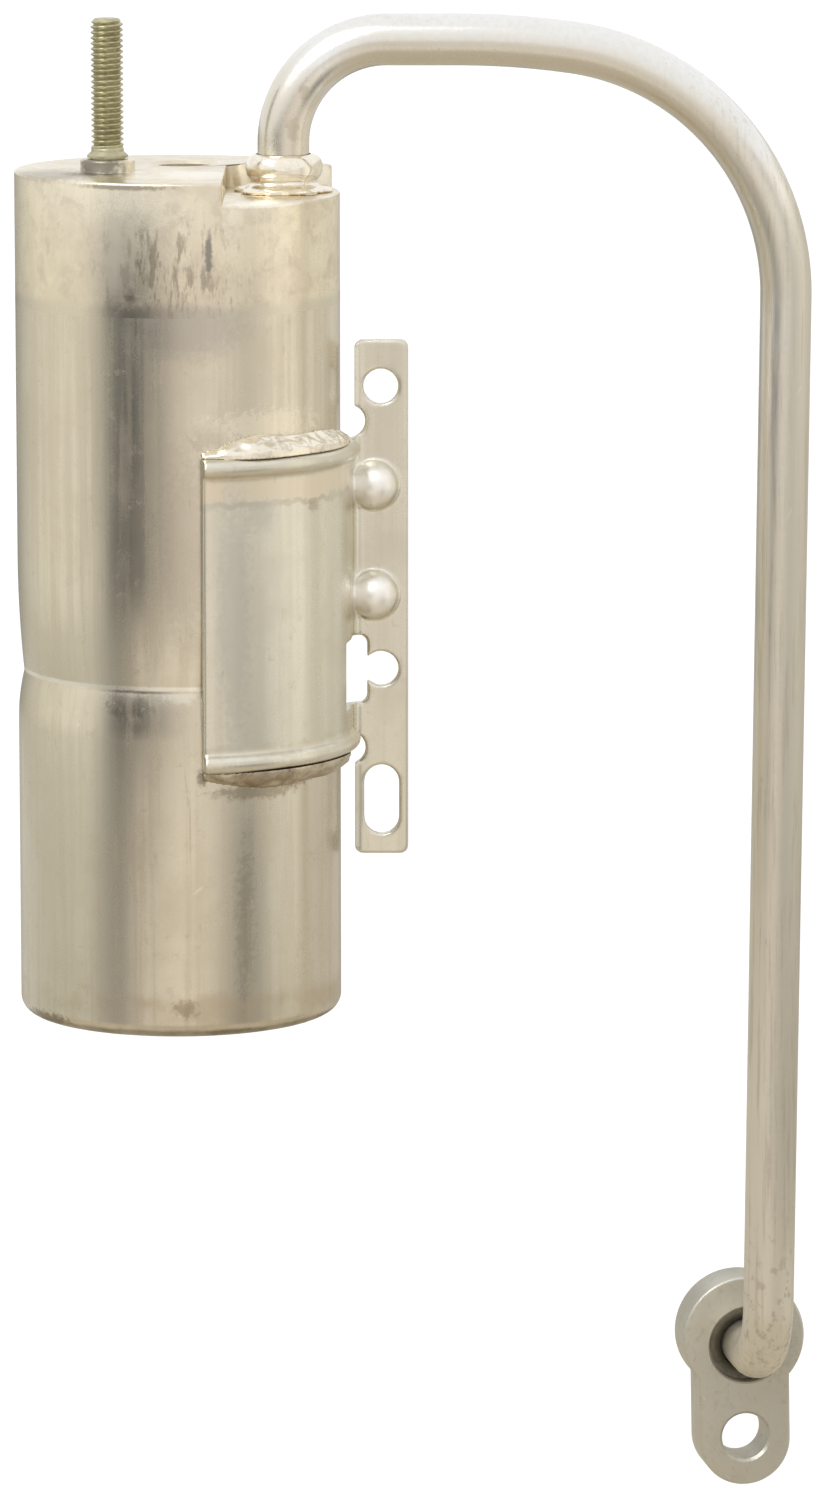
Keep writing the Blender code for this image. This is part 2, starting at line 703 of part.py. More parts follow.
# A fillet of braze in the recess, round the tube
def make_block_braze(seat):
    inner = TUBE_RADIUS + GAP
    outer = min(inner + BRAZE_LEG, RECESS_RADIUS - GAP)
    foot = -RECESS_DEPTH + GAP
    hollow = (inner + (outer - inner) * BRAZE_HOLLOW, foot + BRAZE_LEG * BRAZE_HOLLOW)
    section = [(inner, foot + BRAZE_LEG), hollow, (outer, foot), (inner, foot)]
    braze = turned_part("block_braze", section, weld_aluminium, ROUND_SMALL, closed=True)
    return place(braze, rotation=(math.radians(90.0), 0.0, 0.0), parent=seat)


def make_pilot_o_ring(seat):
    ring_radius = O_RING_GROOVE_RADIUS + GAP + O_RING_RADIUS
    section = arc((ring_radius, 0.0), O_RING_RADIUS, math.pi / 2, -1.5 * math.pi, O_RING_SECTION_STEPS)[:-1]
    ring = turned_part("pilot_o_ring", section, seal_rubber, ROUND_SMALL, closed=True)
    out_of_back = -BLOCK_THICKNESS - O_RING_SEAT_Z
    return place(ring, (0.0, -out_of_back, 0.0), (math.radians(90.0), 0.0, 0.0), seat)


# The sheet's middle line in plan, as pairs of a point and the direction to its outer side
def sheet_line():
    line = []
    for i in range(SADDLE_STEPS + 1):
        turn = SADDLE_START + (math.pi / 2 - SADDLE_START) * i / SADDLE_STEPS
        out = Vector((math.sin(turn), -math.cos(turn)))
        line.append((out * SADDLE_MID_RADIUS, out))
    pivot = Vector((SADDLE_MID_RADIUS + BEND_MID_RADIUS, SADDLE_FLAT))
    for i in range(BRACKET_BEND_STEPS + 1):
        turn = math.pi / 2 * i / BRACKET_BEND_STEPS
        out = Vector((math.cos(turn), -math.sin(turn)))
        line.append((pivot - out * BEND_MID_RADIUS, out))
    line.append((Vector((STRIP_RIGHT + OVERRUN, STRIP_MID_Y)), Vector((0.0, -1.0))))
    return line


# The blank's shape seen from the front, which trims the bent sheet
def bracket_outline():
    half_turn = math.pi / 2
    low = STRIP_BOTTOM + STRIP_CORNER
    high = STRIP_TOP - STRIP_CORNER
    left = STRIP_LEFT + STRIP_CORNER
    right = STRIP_RIGHT - STRIP_CORNER
    points = [(0.0, SADDLE_BOTTOM), (STRIP_LEFT, SADDLE_BOTTOM)]
    points += arc((left, low), STRIP_CORNER, 2 * half_turn, 3 * half_turn, CORNER_STEPS)
    points += arc((right, low), STRIP_CORNER, 3 * half_turn, 4 * half_turn, CORNER_STEPS)
    points += arc((right, high), STRIP_CORNER, 0.0, half_turn, CORNER_STEPS)
    points += arc((left, high), STRIP_CORNER, half_turn, 2 * half_turn, CORNER_STEPS)
    points += [(STRIP_LEFT, SADDLE_TOP), (0.0, SADDLE_TOP)]
    return points


# A rod along Y that cuts through the strip, given by its outline from the front
def strip_cutter(name, points):
    depth = 2 * (SHEET + BEND_INNER_RADIUS + OVERRUN)
    mesh = stand_up(outline_mesh(name, points, depth))
    return place(add_cutter(name, mesh), (0.0, STRIP_MID_Y, 0.0))


def circle(x, z, radius, steps=ROUND_SMALL):
    return arc((x, z), radius, 0.0, math.tau, steps)[:-1]


# A domed plug that points to the front, for a gusset's bump or its punch mark
def dome_profile(radius, back):
    quarter = arc((0.0, 0.0), radius, math.pi / 2, 0.0, DOME_STEPS)
    return quarter + [(radius, -back), (0.0, -back)]


def saddle_arc(radius, height, start, end, steps=16):
    turns = [start + (end - start) * i / steps for i in range(steps + 1)]
    return [Vector((radius * math.sin(t), -radius * math.cos(t), height)) for t in turns]


def make_bracket():
    line = sheet_line()
    outer = [tuple(point + out * SHEET / 2) for point, out in line]
    inner = [tuple(point - out * SHEET / 2) for point, out in reversed(line)]
    height = STRIP_TOP - STRIP_BOTTOM + 2 * OVERRUN
    mesh = outline_mesh("bracket", outer + inner, height)
    mesh.transform(Matrix.Translation((0.0, 0.0, (STRIP_TOP + STRIP_BOTTOM) / 2)))
    bracket = place(add_part("bracket", mesh, bracket_aluminium))

    depth = 2 * (SADDLE_OUTER_RADIUS + OVERRUN)
    blank = stand_up(outline_mesh("bracket_blank", bracket_outline(), depth))
    boolean(bracket, place(add_cutter("bracket_blank", blank)), "INTERSECT")

    window = add_cutter("bracket_window", box_mesh(
        "bracket_window", (WINDOW_LEFT, WINDOW_FRONT, WINDOW_BOTTOM),
        (WINDOW_RIGHT, STRIP_BACK_Y + OVERRUN, WINDOW_TOP), WINDOW_CORNER, corner_axis=1))
    boolean(bracket, place(window))

    lips = {"lip_top": SADDLE_TOP - LIP_RADIUS, "lip_bottom": SADDLE_BOTTOM + LIP_RADIUS}
    for name, height in lips.items():
        route = saddle_arc(SADDLE_OUTER_RADIUS - GAP / 2, height, SADDLE_START, LIP_END)
        lip = add_cutter(name, route_mesh(name, route, LIP_RADIUS, LIP_RESOLUTION, capped=True))
        boolean(bracket, place(lip), "UNION")

    towards_front = (math.radians(90.0), 0.0, 0.0)
    for i, height in enumerate(GUSSET_HEIGHTS):
        bump = turned_cutter("gusset_%d" % i, dome_profile(GUSSET_RADIUS, SHEET / 2), ROUND_GUSSET)
        boolean(bracket, place(bump, (GUSSET_X, STRIP_FRONT_Y, height), towards_front), "UNION")
    for i, height in enumerate(GUSSET_HEIGHTS):
        punch = turned_cutter("gusset_punch_%d" % i, dome_profile(GUSSET_PUNCH_RADIUS, SHEET + OVERRUN),
                              ROUND_PUNCH)
        boolean(bracket, place(punch, (GUSSET_X, STRIP_FRONT_Y, height), towards_front))

    slot_half = SLOT_LENGTH / 2 - HOLE_RADIUS
    middle = (STRIP_LEFT + STRIP_RIGHT) / 2
    slot = arc((middle, SLOT_Z + slot_half), HOLE_RADIUS, 0.0, math.pi, SLOT_END_STEPS)
    slot += arc((middle, SLOT_Z - slot_half), HOLE_RADIUS, math.pi, math.tau, SLOT_END_STEPS)
    relief_x = STRIP_LEFT - RELIEF_INSET
    openings = {
        "top_hole": circle(HOLE_X, TOP_HOLE_Z, HOLE_RADIUS),
        "middle_hole": circle(HOLE_X, MIDDLE_HOLE_Z, HOLE_RADIUS),
        "strip_slot": slot,
        "top_relief": circle(relief_x, SADDLE_TOP + TOP_RELIEF_RISE, RELIEF_RADIUS, ROUND_HOLE),
        "bottom_relief": circle(relief_x, SADDLE_BOTTOM - BOTTOM_RELIEF_DROP, RELIEF_RADIUS, ROUND_HOLE),
    }
    for name, points in openings.items():
        boolean(bracket, strip_cutter(name, points))
    return smooth(bracket)


# A fillet weld along one edge of the saddle. Its section runs from the can's wall to the lip and
# swells unevenly along its length.
def make_bracket_weld(name, edge, direction, seed):
    rng = random.Random(seed)
    root = CAN_RADIUS + GAP
    seat = edge + direction * GAP
    waves = [(rng.uniform(0.3, 1.0), rng.randint(5, 15), rng.uniform(0.0, math.tau)) for _ in range(4)]
    sections = []
    for i in range(FILLET_STEPS + 1):
        share = i / FILLET_STEPS
        turn = SADDLE_START + (LIP_END - SADDLE_START) * share
        lump = FILLET_LUMP * sum(a * math.sin(n * share + p) for a, n, p in waves) / 2
        from_end = min(1.0, 4.0 * min(share, 1.0 - share))
        fade = FILLET_END_SHARE + (1.0 - FILLET_END_SHARE) * math.sin(math.pi / 2 * from_end)
        leg = (FILLET_LEG + lump) * fade
        rise = (FILLET_RISE + 2 * lump) * fade
        section = [(root + leg * out, rise * up) for out, up in FILLET_SECTION]
        sections.append([Vector((r * math.sin(turn), -r * math.cos(turn), seat + direction * z))
                         for r, z in section])
    weld = add_part(name, loft_mesh(name, sections), weld_aluminium)
    return smooth(place(weld), math.radians(50.0))


# Undersides of the pack's layers. The narrowing wall stops the lower plate, the spring stands under the
# header, and the bed fills what is left between the pads.
def pack_levels():
    lower_plate = GROOVE_Z + PLATE_SEAT_RISE
    lower_pad = lower_plate + PLATE_THICKNESS + GAP
    bed = lower_pad + PAD_THICKNESS + GAP
    spring = SPIGOT_END - GAP - SPRING_LENGTH
    upper_plate = spring - GAP - PLATE_THICKNESS
    upper_pad = upper_plate - GAP - PAD_THICKNESS
    return lower_plate, lower_pad, bed, upper_pad, upper_plate, spring


# Radius of a disc that slides down the can as far as a height
def disc_radius(height):
    return CAN_BORE - groove_inset(height) - GAP


def pickup_hole(name, low, high):
    cutter = turned_cutter(name, [
        (0.0, high + OVERRUN),
        (PICKUP_RADIUS + GAP, high + OVERRUN),
        (PICKUP_RADIUS + GAP, low - OVERRUN),
        (0.0, low - OVERRUN),
    ], ROUND_HOLE)
    return place(cutter, (OUTLET_X, OUTLET_Y, 0.0))


def make_disc(name, low, thickness, finish):
    radius = disc_radius(low)
    profile = [(0.0, low + thickness), (radius, low + thickness), (radius, low), (0.0, low)]
    disc = place(turned_part(name, profile, finish, ROUND_LARGE))
    boolean(disc, pickup_hole(name + "_hole", low, low + thickness))
    return disc


# A disc with rings of flow holes, left out where they would run into the pickup tube's hole
def make_plate(name, low):
    plate = make_disc(name, low, PLATE_THICKNESS, zinc_steel)
    keep_clear = PICKUP_RADIUS + PLATE_HOLE_RADIUS + PLATE_WEB
    rings = ((PLATE_INNER_RING, PLATE_INNER_HOLES), (PLATE_OUTER_RING, PLATE_OUTER_HOLES))
    for ring, (radius, count) in enumerate(rings):
        for i in range(count):
            turn = math.tau * i / count
            x = radius * math.cos(turn)
            y = radius * math.sin(turn)
            if math.hypot(x - OUTLET_X, y - OUTLET_Y) < keep_clear:
                continue
            hole = turned_cutter("%s_flow_%d_%d" % (name, ring, i), [
                (0.0, PLATE_THICKNESS + OVERRUN),
                (PLATE_HOLE_RADIUS, PLATE_THICKNESS + OVERRUN),
                (PLATE_HOLE_RADIUS, -OVERRUN),
                (0.0, -OVERRUN),
            ], ROUND_FLOW_HOLE)
            boolean(plate, place(hole, (x, y, low)))
    return plate


def make_pack():
    lower_plate, lower_pad, bed, upper_pad, upper_plate, spring = pack_levels()
    make_plate("lower_plate", lower_plate)
    make_disc("lower_filter_pad", lower_pad, PAD_THICKNESS, felt)
    make_disc("desiccant_bed", bed, upper_pad - GAP - bed, desiccant)
    make_disc("upper_filter_pad", upper_pad, PAD_THICKNESS, felt)
    make_plate("upper_plate", upper_plate)

    # The spring's first and last turns lie flat against the plate and the header
    low = spring + SPRING_WIRE
    high = spring + SPRING_LENGTH - SPRING_WIRE
    count = int(SPRING_STEPS_PER_TURN * (SPRING_TURNS + 2 * SPRING_FLAT_TURNS))
    route = []
    for i in range(count + 1):
        turn = math.tau * i / SPRING_STEPS_PER_TURN
        climb = min(1.0, max(0.0, (i / SPRING_STEPS_PER_TURN - SPRING_FLAT_TURNS) / SPRING_TURNS))
        route.append(Vector((SPRING_RADIUS * math.cos(turn), SPRING_RADIUS * math.sin(turn),
                             low + (high - low) * climb)))
    mesh = route_mesh("pack_spring", route, SPRING_WIRE, SPRING_RESOLUTION, capped=True)
    smooth(place(add_part("pack_spring", mesh, zinc_steel)))


def make_pickup():
    top = SPIGOT_END + PICKUP_SOCKET_DEPTH - GAP
    inner = PICKUP_RADIUS - PICKUP_WALL
    section = [(PICKUP_RADIUS, top), (PICKUP_RADIUS, PICKUP_END_Z), (inner, PICKUP_END_Z), (inner, top)]
    tube = turned_part("pickup_tube", section, tube_aluminium, ROUND_SMALL, closed=True)
    place(tube, (OUTLET_X, OUTLET_Y, 0.0))

    # A cup that grips the tube's end, with windows for its gauze below the shoulder
    floor = CAN_FLOOR + STRAINER_CLEAR
    neck = PICKUP_RADIUS + GAP
    cup_inner = STRAINER_RADIUS - STRAINER_WALL
    profile = [
        (0.0, floor + STRAINER_WALL),
        (cup_inner, floor + STRAINER_WALL),
        (cup_inner, STRAINER_SHOULDER_Z - STRAINER_WALL),
        (neck, STRAINER_SHOULDER_Z),
        (neck, STRAINER_TOP_Z),
        (neck + STRAINER_WALL, STRAINER_TOP_Z),
        (neck + STRAINER_WALL, STRAINER_SHOULDER_Z + STRAINER_WALL),
        (STRAINER_RADIUS, STRAINER_SHOULDER_Z),
        (STRAINER_RADIUS, floor),
        (0.0, floor),
    ]
    strainer = turned_part("pickup_strainer", profile, strainer_plastic, ROUND_SMALL)
    place(strainer, (OUTLET_X, OUTLET_Y, 0.0))
    reach = STRAINER_RADIUS + OVERRUN
    low = floor + 2 * STRAINER_WALL
    high = STRAINER_SHOULDER_Z - 2 * STRAINER_WALL
    for i in range(STRAINER_WINDOWS):
        name = "strainer_window_%d" % i
        half = STRAINER_WINDOW / 2
        window = add_cutter(name, box_mesh(name, (-reach, -half, low), (reach, half, high)))
        turn = math.pi * i / STRAINER_WINDOWS
        boolean(strainer, place(window, (OUTLET_X, OUTLET_Y, 0.0), (0.0, 0.0, turn)))


clear_scene()
parts = new_collection("receiver_drier")
cutters = new_collection("cutters")

drawn_aluminium = material("drawn_aluminium", (0.62, 0.57, 0.46), 0.28, 1.0)
machined_aluminium = material("machined_aluminium", (0.66, 0.61, 0.50), 0.38, 1.0)
tube_aluminium = material("tube_aluminium", (0.70, 0.66, 0.57), 0.36, 1.0)
bracket_aluminium = material("bracket_aluminium", (0.66, 0.62, 0.50), 0.34, 1.0)
weld_aluminium = material("weld_aluminium", (0.78, 0.74, 0.64), 0.22, 1.0)
zinc_steel = material("zinc_steel", (0.52, 0.50, 0.40), 0.40, 1.0)
seal_rubber = material("seal_rubber", (0.02, 0.09, 0.05), 0.55, 0.0)
felt = material("felt", (0.80, 0.78, 0.72), 0.95, 0.0)
desiccant = material("desiccant", (0.76, 0.70, 0.60), 0.85, 0.0)
strainer_plastic = material("strainer_plastic", (0.82, 0.82, 0.80), 0.50, 0.0)

frame = add_empty("drier_frame", -MOUNT_POINT)
make_can()
make_header_weld()
make_header()
make_stud()

tube_points, block_point = tube_route()
make_outlet_tube(tube_points)
make_outlet_weld()

block_seat = add_empty("block_seat", block_point, (0.0, BLOCK_ROLL, BLOCK_YAW), frame)
make_block(block_seat)
make_block_braze(block_seat)
make_pilot_o_ring(block_seat)

make_bracket()
make_bracket_weld("bracket_weld_top", SADDLE_TOP, 1.0, 11)
make_bracket_weld("bracket_weld_bottom", SADDLE_BOTTOM, -1.0, 12)

make_pack()
make_pickup()
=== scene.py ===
import math
import random

import bmesh
import bpy
from mathutils import Matrix, Vector, noise


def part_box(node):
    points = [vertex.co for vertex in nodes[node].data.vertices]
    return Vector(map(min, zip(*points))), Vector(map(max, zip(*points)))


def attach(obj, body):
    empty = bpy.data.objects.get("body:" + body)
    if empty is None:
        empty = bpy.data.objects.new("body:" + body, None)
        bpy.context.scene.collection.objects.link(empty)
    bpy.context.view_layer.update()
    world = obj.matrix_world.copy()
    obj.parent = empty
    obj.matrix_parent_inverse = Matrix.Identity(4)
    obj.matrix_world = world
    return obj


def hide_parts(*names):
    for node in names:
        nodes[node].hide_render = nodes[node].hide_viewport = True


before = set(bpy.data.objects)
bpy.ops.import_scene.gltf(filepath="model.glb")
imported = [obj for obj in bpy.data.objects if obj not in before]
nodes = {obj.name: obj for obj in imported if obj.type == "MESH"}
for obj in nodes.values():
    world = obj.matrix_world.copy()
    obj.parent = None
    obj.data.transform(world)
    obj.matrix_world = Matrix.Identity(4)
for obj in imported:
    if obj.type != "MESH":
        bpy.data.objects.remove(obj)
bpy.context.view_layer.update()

fullTurn = math.tau

# The drier's own frame: the can's axis is Z and its foot is at zero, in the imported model's directions
canLow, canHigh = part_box("can")
canFoot = Vector(((canLow.x + canHigh.x) / 2, (canLow.y + canHigh.y) / 2, canLow.z))
print("frame loaded, can foot at", [round(v, 5) for v in canFoot])


# Modelling helpers

def clearSelection():
    if bpy.context.object and bpy.context.object.mode != "OBJECT":
        bpy.ops.object.mode_set(mode="OBJECT")
    bpy.ops.object.select_all(action="DESELECT")


def makeActive(piece):
    clearSelection()
    piece.select_set(True)
    bpy.context.view_layer.objects.active = piece


def startEdit(piece, kind="VERT"):
    makeActive(piece)
    bpy.ops.object.mode_set(mode="EDIT")
    bpy.ops.mesh.select_mode(type=kind)
    bpy.ops.mesh.select_all(action="SELECT")


def endEdit():
    bpy.ops.object.mode_set(mode="OBJECT")


# A chain of points pulled out one by one from a primitive that is merged to a single corner
def drawChain(name, points):
    clearSelection()
    bpy.ops.mesh.primitive_plane_add(size=0.001, location=(0, 0, 0))
    piece = bpy.context.object
    piece.name = name
    startEdit(piece)
    bpy.ops.mesh.merge(type="CENTER")
    bpy.ops.transform.translate(value=points[0])
    here = Vector(points[0])
    for point in points[1:]:
        step = Vector(point) - here
        bpy.ops.mesh.extrude_vertices_move(TRANSFORM_OT_translate={"value": step})
        here = Vector(point)
    endEdit()
    return piece


def tidyMesh(piece, reach=0.000004):
    startEdit(piece)
    bpy.ops.mesh.remove_doubles(threshold=reach)
    bpy.ops.mesh.normals_make_consistent(inside=False)
    endEdit()


# A profile of (radius, height) pairs spun about Z, whole or in part
def turn(name, profile, steps, closed=False):
    points = [(radius, 0.0, height) for radius, height in profile]
    if closed:
        points.append(points[0])
    piece = drawChain(name, points)
    startEdit(piece)
    bpy.ops.mesh.spin(steps=steps, angle=fullTurn, center=(0, 0, 0), axis=(0, 0, 1))
    endEdit()
    tidyMesh(piece)
    return piece


# A filled outline in the drier's XZ plane, pulled to a thickness along Y and centred on it
def slab(name, outline, thickness, middleY=0.0):
    points = [(x, middleY - thickness / 2, z) for x, z in outline]
    points.append(points[0])
    piece = drawChain(name, points)
    startEdit(piece)
    bpy.ops.mesh.remove_doubles(threshold=0.000004)
    bpy.ops.mesh.edge_face_add()
    bpy.ops.mesh.extrude_region_move(TRANSFORM_OT_translate={"value": (0, thickness, 0)})
    endEdit()
    tidyMesh(piece)
    return piece


# A section of (radius, height) pairs filled and swept round the can's axis between two angles
def sweepRound(name, section, start, end, steps):
    points = [(radius * math.sin(start), -radius * math.cos(start), height) for radius, height in section]
    points.append(points[0])
    piece = drawChain(name, points)
    startEdit(piece)
    bpy.ops.mesh.remove_doubles(threshold=0.000004)
    bpy.ops.mesh.edge_face_add()
    bpy.ops.mesh.spin(steps=steps, angle=start - end, center=(0, 0, 0), axis=(0, 0, 1))
    endEdit()
    tidyMesh(piece)
    return piece


def boxTool(name, low, high, corner=0.0, cornerAxis=2, segments=8):
    clearSelection()
    middle = [(a + b) / 2 for a, b in zip(low, high)]
    size = [b - a for a, b in zip(low, high)]
    bpy.ops.mesh.primitive_cube_add(size=1.0, location=middle, scale=size)
    piece = bpy.context.object
    piece.name = name
    bpy.ops.object.transform_apply(location=True, rotation=True, scale=True)
    if corner > 0.0:
        startEdit(piece, "EDGE")
        bpy.ops.mesh.select_all(action="DESELECT")
        cage = bmesh.from_edit_mesh(piece.data)
        for edge in cage.edges:
            along = edge.verts[0].co - edge.verts[1].co
            edge.select = abs(along[cornerAxis]) > size[cornerAxis] / 2
        bmesh.update_edit_mesh(piece.data)
        bpy.ops.mesh.bevel(offset=corner, segments=segments, affect="EDGES")
        endEdit()
    return piece


def movePiece(piece, location=(0, 0, 0), rotation=(0, 0, 0)):
    makeActive(piece)
    piece.location = location
    piece.rotation_euler = rotation
    bpy.ops.object.transform_apply(location=True, rotation=True, scale=True)
    return piece


def applyModifier(piece, kind, **settings):
    makeActive(piece)
    modifier = piece.modifiers.new(kind.lower(), kind)
    for key, value in settings.items():
        setattr(modifier, key, value)
    bpy.ops.object.modifier_apply(modifier=modifier.name)
    return piece


def combine(piece, tool, operation="DIFFERENCE"):
    applyModifier(piece, "BOOLEAN", object=tool, operation=operation, solver="EXACT")
    bpy.data.objects.remove(tool, do_unlink=True)
    return piece


def arcPoints(centre, radius, start, end, steps):
    span = [start + (end - start) * i / steps for i in range(steps + 1)]
    return [(centre[0] + radius * math.cos(a), centre[1] + radius * math.sin(a)) for a in span]


def faceCount(piece):
    return sum(len(face.vertices) - 2 for face in piece.data.polygons)


# Puts a finished piece where its node is, with its place in its mesh, and dresses it
def finishPiece(piece, name, node, material, angle=35.0, inDrierFrame=True):
    if inDrierFrame:
        movePiece(piece, canFoot)
    makeActive(piece)
    piece.name = name
    piece.data.name = name
    bpy.ops.object.shade_smooth_by_angle(angle=math.radians(angle), keep_sharp_edges=False)
    piece.data.materials.clear()
    piece.data.materials.append(material)
    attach(piece, "root")
    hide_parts(node)
    print(name, "made,", faceCount(piece), "triangles")
    return piece


# Shader groups, each built once

def newGroup(name, inputs, outputs):
    group = bpy.data.node_groups.new(name, "ShaderNodeTree")
    for label, kind, value in inputs:
        socket = group.interface.new_socket(name=label, in_out="INPUT", socket_type=kind)
        if value is not None:
            socket.default_value = value
    for label, kind in outputs:
        group.interface.new_socket(name=label, in_out="OUTPUT", socket_type=kind)
    return group, group.nodes.new("NodeGroupInput"), group.nodes.new("NodeGroupOutput")


def addNode(tree, kind, **settings):
    node = tree.nodes.new(kind)
    for key, value in settings.items():
        setattr(node, key, value)
    return node


def feed(tree, value, socket):
    if isinstance(value, bpy.types.NodeSocket):
        tree.links.new(value, socket)
    else:
        socket.default_value = value


def sums(tree, operation, first, second=0.0, third=None, clamp=False):
    node = addNode(tree, "ShaderNodeMath", operation=operation, use_clamp=clamp)
    feed(tree, first, node.inputs[0])
    feed(tree, second, node.inputs[1])
    if third is not None:
        feed(tree, third, node.inputs[2])
    return node.outputs[0]


def vectorSums(tree, operation, first, second=(0, 0, 0), scale=None):
    node = addNode(tree, "ShaderNodeVectorMath", operation=operation)
    feed(tree, first, node.inputs[0])
    if operation not in ("LENGTH", "SCALE"):
        feed(tree, second, node.inputs[1])
    if scale is not None:
        feed(tree, scale, node.inputs["Scale"])
    return node.outputs["Value"] if operation == "LENGTH" else node.outputs["Vector"]


def remap(tree, value, low, high, outLow=0.0, outHigh=1.0, soft=True):
    node = addNode(tree, "ShaderNodeMapRange", interpolation_type="SMOOTHSTEP" if soft else "LINEAR")
    for label, number in (("Value", value), ("From Min", low), ("From Max", high),
                          ("To Min", outLow), ("To Max", outHigh)):
        feed(tree, number, node.inputs[label])
    return node.outputs["Result"]


def cloud(tree, vector, scale, detail=4.0, roughness=0.55, wanted="Fac"):
    node = addNode(tree, "ShaderNodeTexNoise")
    feed(tree, vector, node.inputs["Vector"])
    feed(tree, scale, node.inputs["Scale"])
    node.inputs["Detail"].default_value = detail
    node.inputs["Roughness"].default_value = roughness
    return node.outputs[wanted]


def makeStreakGroup():
    group, start, end = newGroup("drawingStreaks", [
        ("Vector", "NodeSocketVector", None),
        ("Density", "NodeSocketFloat", 400.0),
        ("Lengthwise", "NodeSocketFloat", 0.03),
        ("Low", "NodeSocketFloat", 0.40),
        ("High", "NodeSocketFloat", 0.68),
    ], [("Mask", "NodeSocketFloat")])
    spread = addNode(group, "ShaderNodeCombineXYZ")
    spread.inputs[0].default_value = 1.0
    spread.inputs[1].default_value = 1.0
    group.links.new(start.outputs["Lengthwise"], spread.inputs[2])
    stretched = vectorSums(group, "MULTIPLY", start.outputs["Vector"], spread.outputs[0])
    value = cloud(group, stretched, start.outputs["Density"], 5.0, 0.62)
    group.links.new(remap(group, value, start.outputs["Low"], start.outputs["High"]), end.inputs["Mask"])
    return group


def makeTarnishGroup():
    group, start, end = newGroup("mottledTarnish", [
        ("Vector", "NodeSocketVector", None),
        ("Scale", "NodeSocketFloat", 120.0),
        ("Low", "NodeSocketFloat", 0.45),
        ("High", "NodeSocketFloat", 0.70),
    ], [("Mask", "NodeSocketFloat")])
    warp = cloud(group, start.outputs["Vector"], start.outputs["Scale"], 2.0, 0.5, "Color")
    pushed = vectorSums(group, "SCALE", warp, scale=0.004)
    moved = vectorSums(group, "ADD", start.outputs["Vector"], pushed)
    value = cloud(group, moved, start.outputs["Scale"], 7.0, 0.66)
    group.links.new(remap(group, value, start.outputs["Low"], start.outputs["High"]), end.inputs["Mask"])
    return group


# One ragged-edged patch about a point, with its own reach along each axis, used both for stains and for painted
# highlights and shade
def makeStainAndLightPatchGroup():
    group, start, end = newGroup("raggedStainAndLightPatch", [
        ("Vector", "NodeSocketVector", None),
        ("Centre", "NodeSocketVector", (0.0, 0.0, 0.0)),
        ("Size", "NodeSocketVector", (0.002, 0.002, 0.002)),
        ("Ragged", "NodeSocketFloat", 0.5),
    ], [("Mask", "NodeSocketFloat")])
    away = vectorSums(group, "SUBTRACT", start.outputs["Vector"], start.outputs["Centre"])
    shares = vectorSums(group, "DIVIDE", away, start.outputs["Size"])
    distance = vectorSums(group, "LENGTH", shares)
    value = cloud(group, start.outputs["Vector"], 900.0, 4.0, 0.65)
    wobble = sums(group, "MULTIPLY", sums(group, "SUBTRACT", value, 0.5), start.outputs["Ragged"])
    edge = sums(group, "ADD", distance, sums(group, "MULTIPLY", wobble, 2.0))
    group.links.new(remap(group, edge, 0.35, 1.0, 1.0, 0.0), end.inputs["Mask"])
    return group


# A belt round the can at a height, thin or thick by the place, used both for heat stain and dirt and for painted
# highlights and shade
def makeBeltGroup():
    group, start, end = newGroup("stainAndLightBelt", [
        ("Vector", "NodeSocketVector", None),
        ("Height", "NodeSocketFloat", 0.0),
        ("Half Width", "NodeSocketFloat", 0.002),
        ("Ragged", "NodeSocketFloat", 0.003),
        ("Patchy", "NodeSocketFloat", 0.5),
        ("Right End", "NodeSocketFloat", 1.0),
    ], [("Mask", "NodeSocketFloat")])
    parts = addNode(group, "ShaderNodeSeparateXYZ")
    group.links.new(start.outputs["Vector"], parts.inputs[0])
    value = cloud(group, start.outputs["Vector"], 160.0, 5.0, 0.6)
    push = sums(group, "MULTIPLY", sums(group, "SUBTRACT", value, 0.5), start.outputs["Ragged"])
    away = sums(group, "ABSOLUTE", sums(group, "ADD", sums(group, "SUBTRACT", parts.outputs[2],
                                                            start.outputs["Height"]), push))
    share = sums(group, "DIVIDE", away, start.outputs["Half Width"])
    belt = remap(group, share, 0.3, 1.0, 1.0, 0.0)
    patches = remap(group, cloud(group, start.outputs["Vector"], 90.0, 4.0, 0.6), 0.38, 0.62)
    thinned = sums(group, "SUBTRACT", 1.0, sums(group, "MULTIPLY", start.outputs["Patchy"],
                                                sums(group, "SUBTRACT", 1.0, patches)))
    beyond = sums(group, "GREATER_THAN", parts.outputs[0], start.outputs["Right End"])
    held = sums(group, "MULTIPLY", belt, sums(group, "SUBTRACT", 1.0, beyond))
    group.links.new(sums(group, "MULTIPLY", held, thinned), end.inputs["Mask"])
    return group


# Short hair scratches that lie along one direction
def makeScratchGroup():
    group, start, end = newGroup("hairScratches", [
        ("Vector", "NodeSocketVector", None),
        ("Tilt", "NodeSocketFloat", 0.2),
        ("Density", "NodeSocketFloat", 260.0),
        ("Amount", "NodeSocketFloat", 0.3),
    ], [("Mask", "NodeSocketFloat")])
    turned = addNode(group, "ShaderNodeVectorRotate", rotation_type="Y_AXIS")
    group.links.new(start.outputs["Vector"], turned.inputs["Vector"])
    group.links.new(start.outputs["Tilt"], turned.inputs["Angle"])
    stretched = vectorSums(group, "MULTIPLY", turned.outputs["Vector"], (1.0, 1.0, 0.045))
    lines = cloud(group, stretched, sums(group, "MULTIPLY", start.outputs["Density"], 4.0), 2.0, 0.5)
    thin = remap(group, lines, 0.70, 0.76)
    where = remap(group, cloud(group, start.outputs["Vector"], start.outputs["Density"], 2.0), 0.50, 0.62)
    group.links.new(sums(group, "MULTIPLY", sums(group, "MULTIPLY", thin, where),
                         start.outputs["Amount"]), end.inputs["Mask"])
    return group


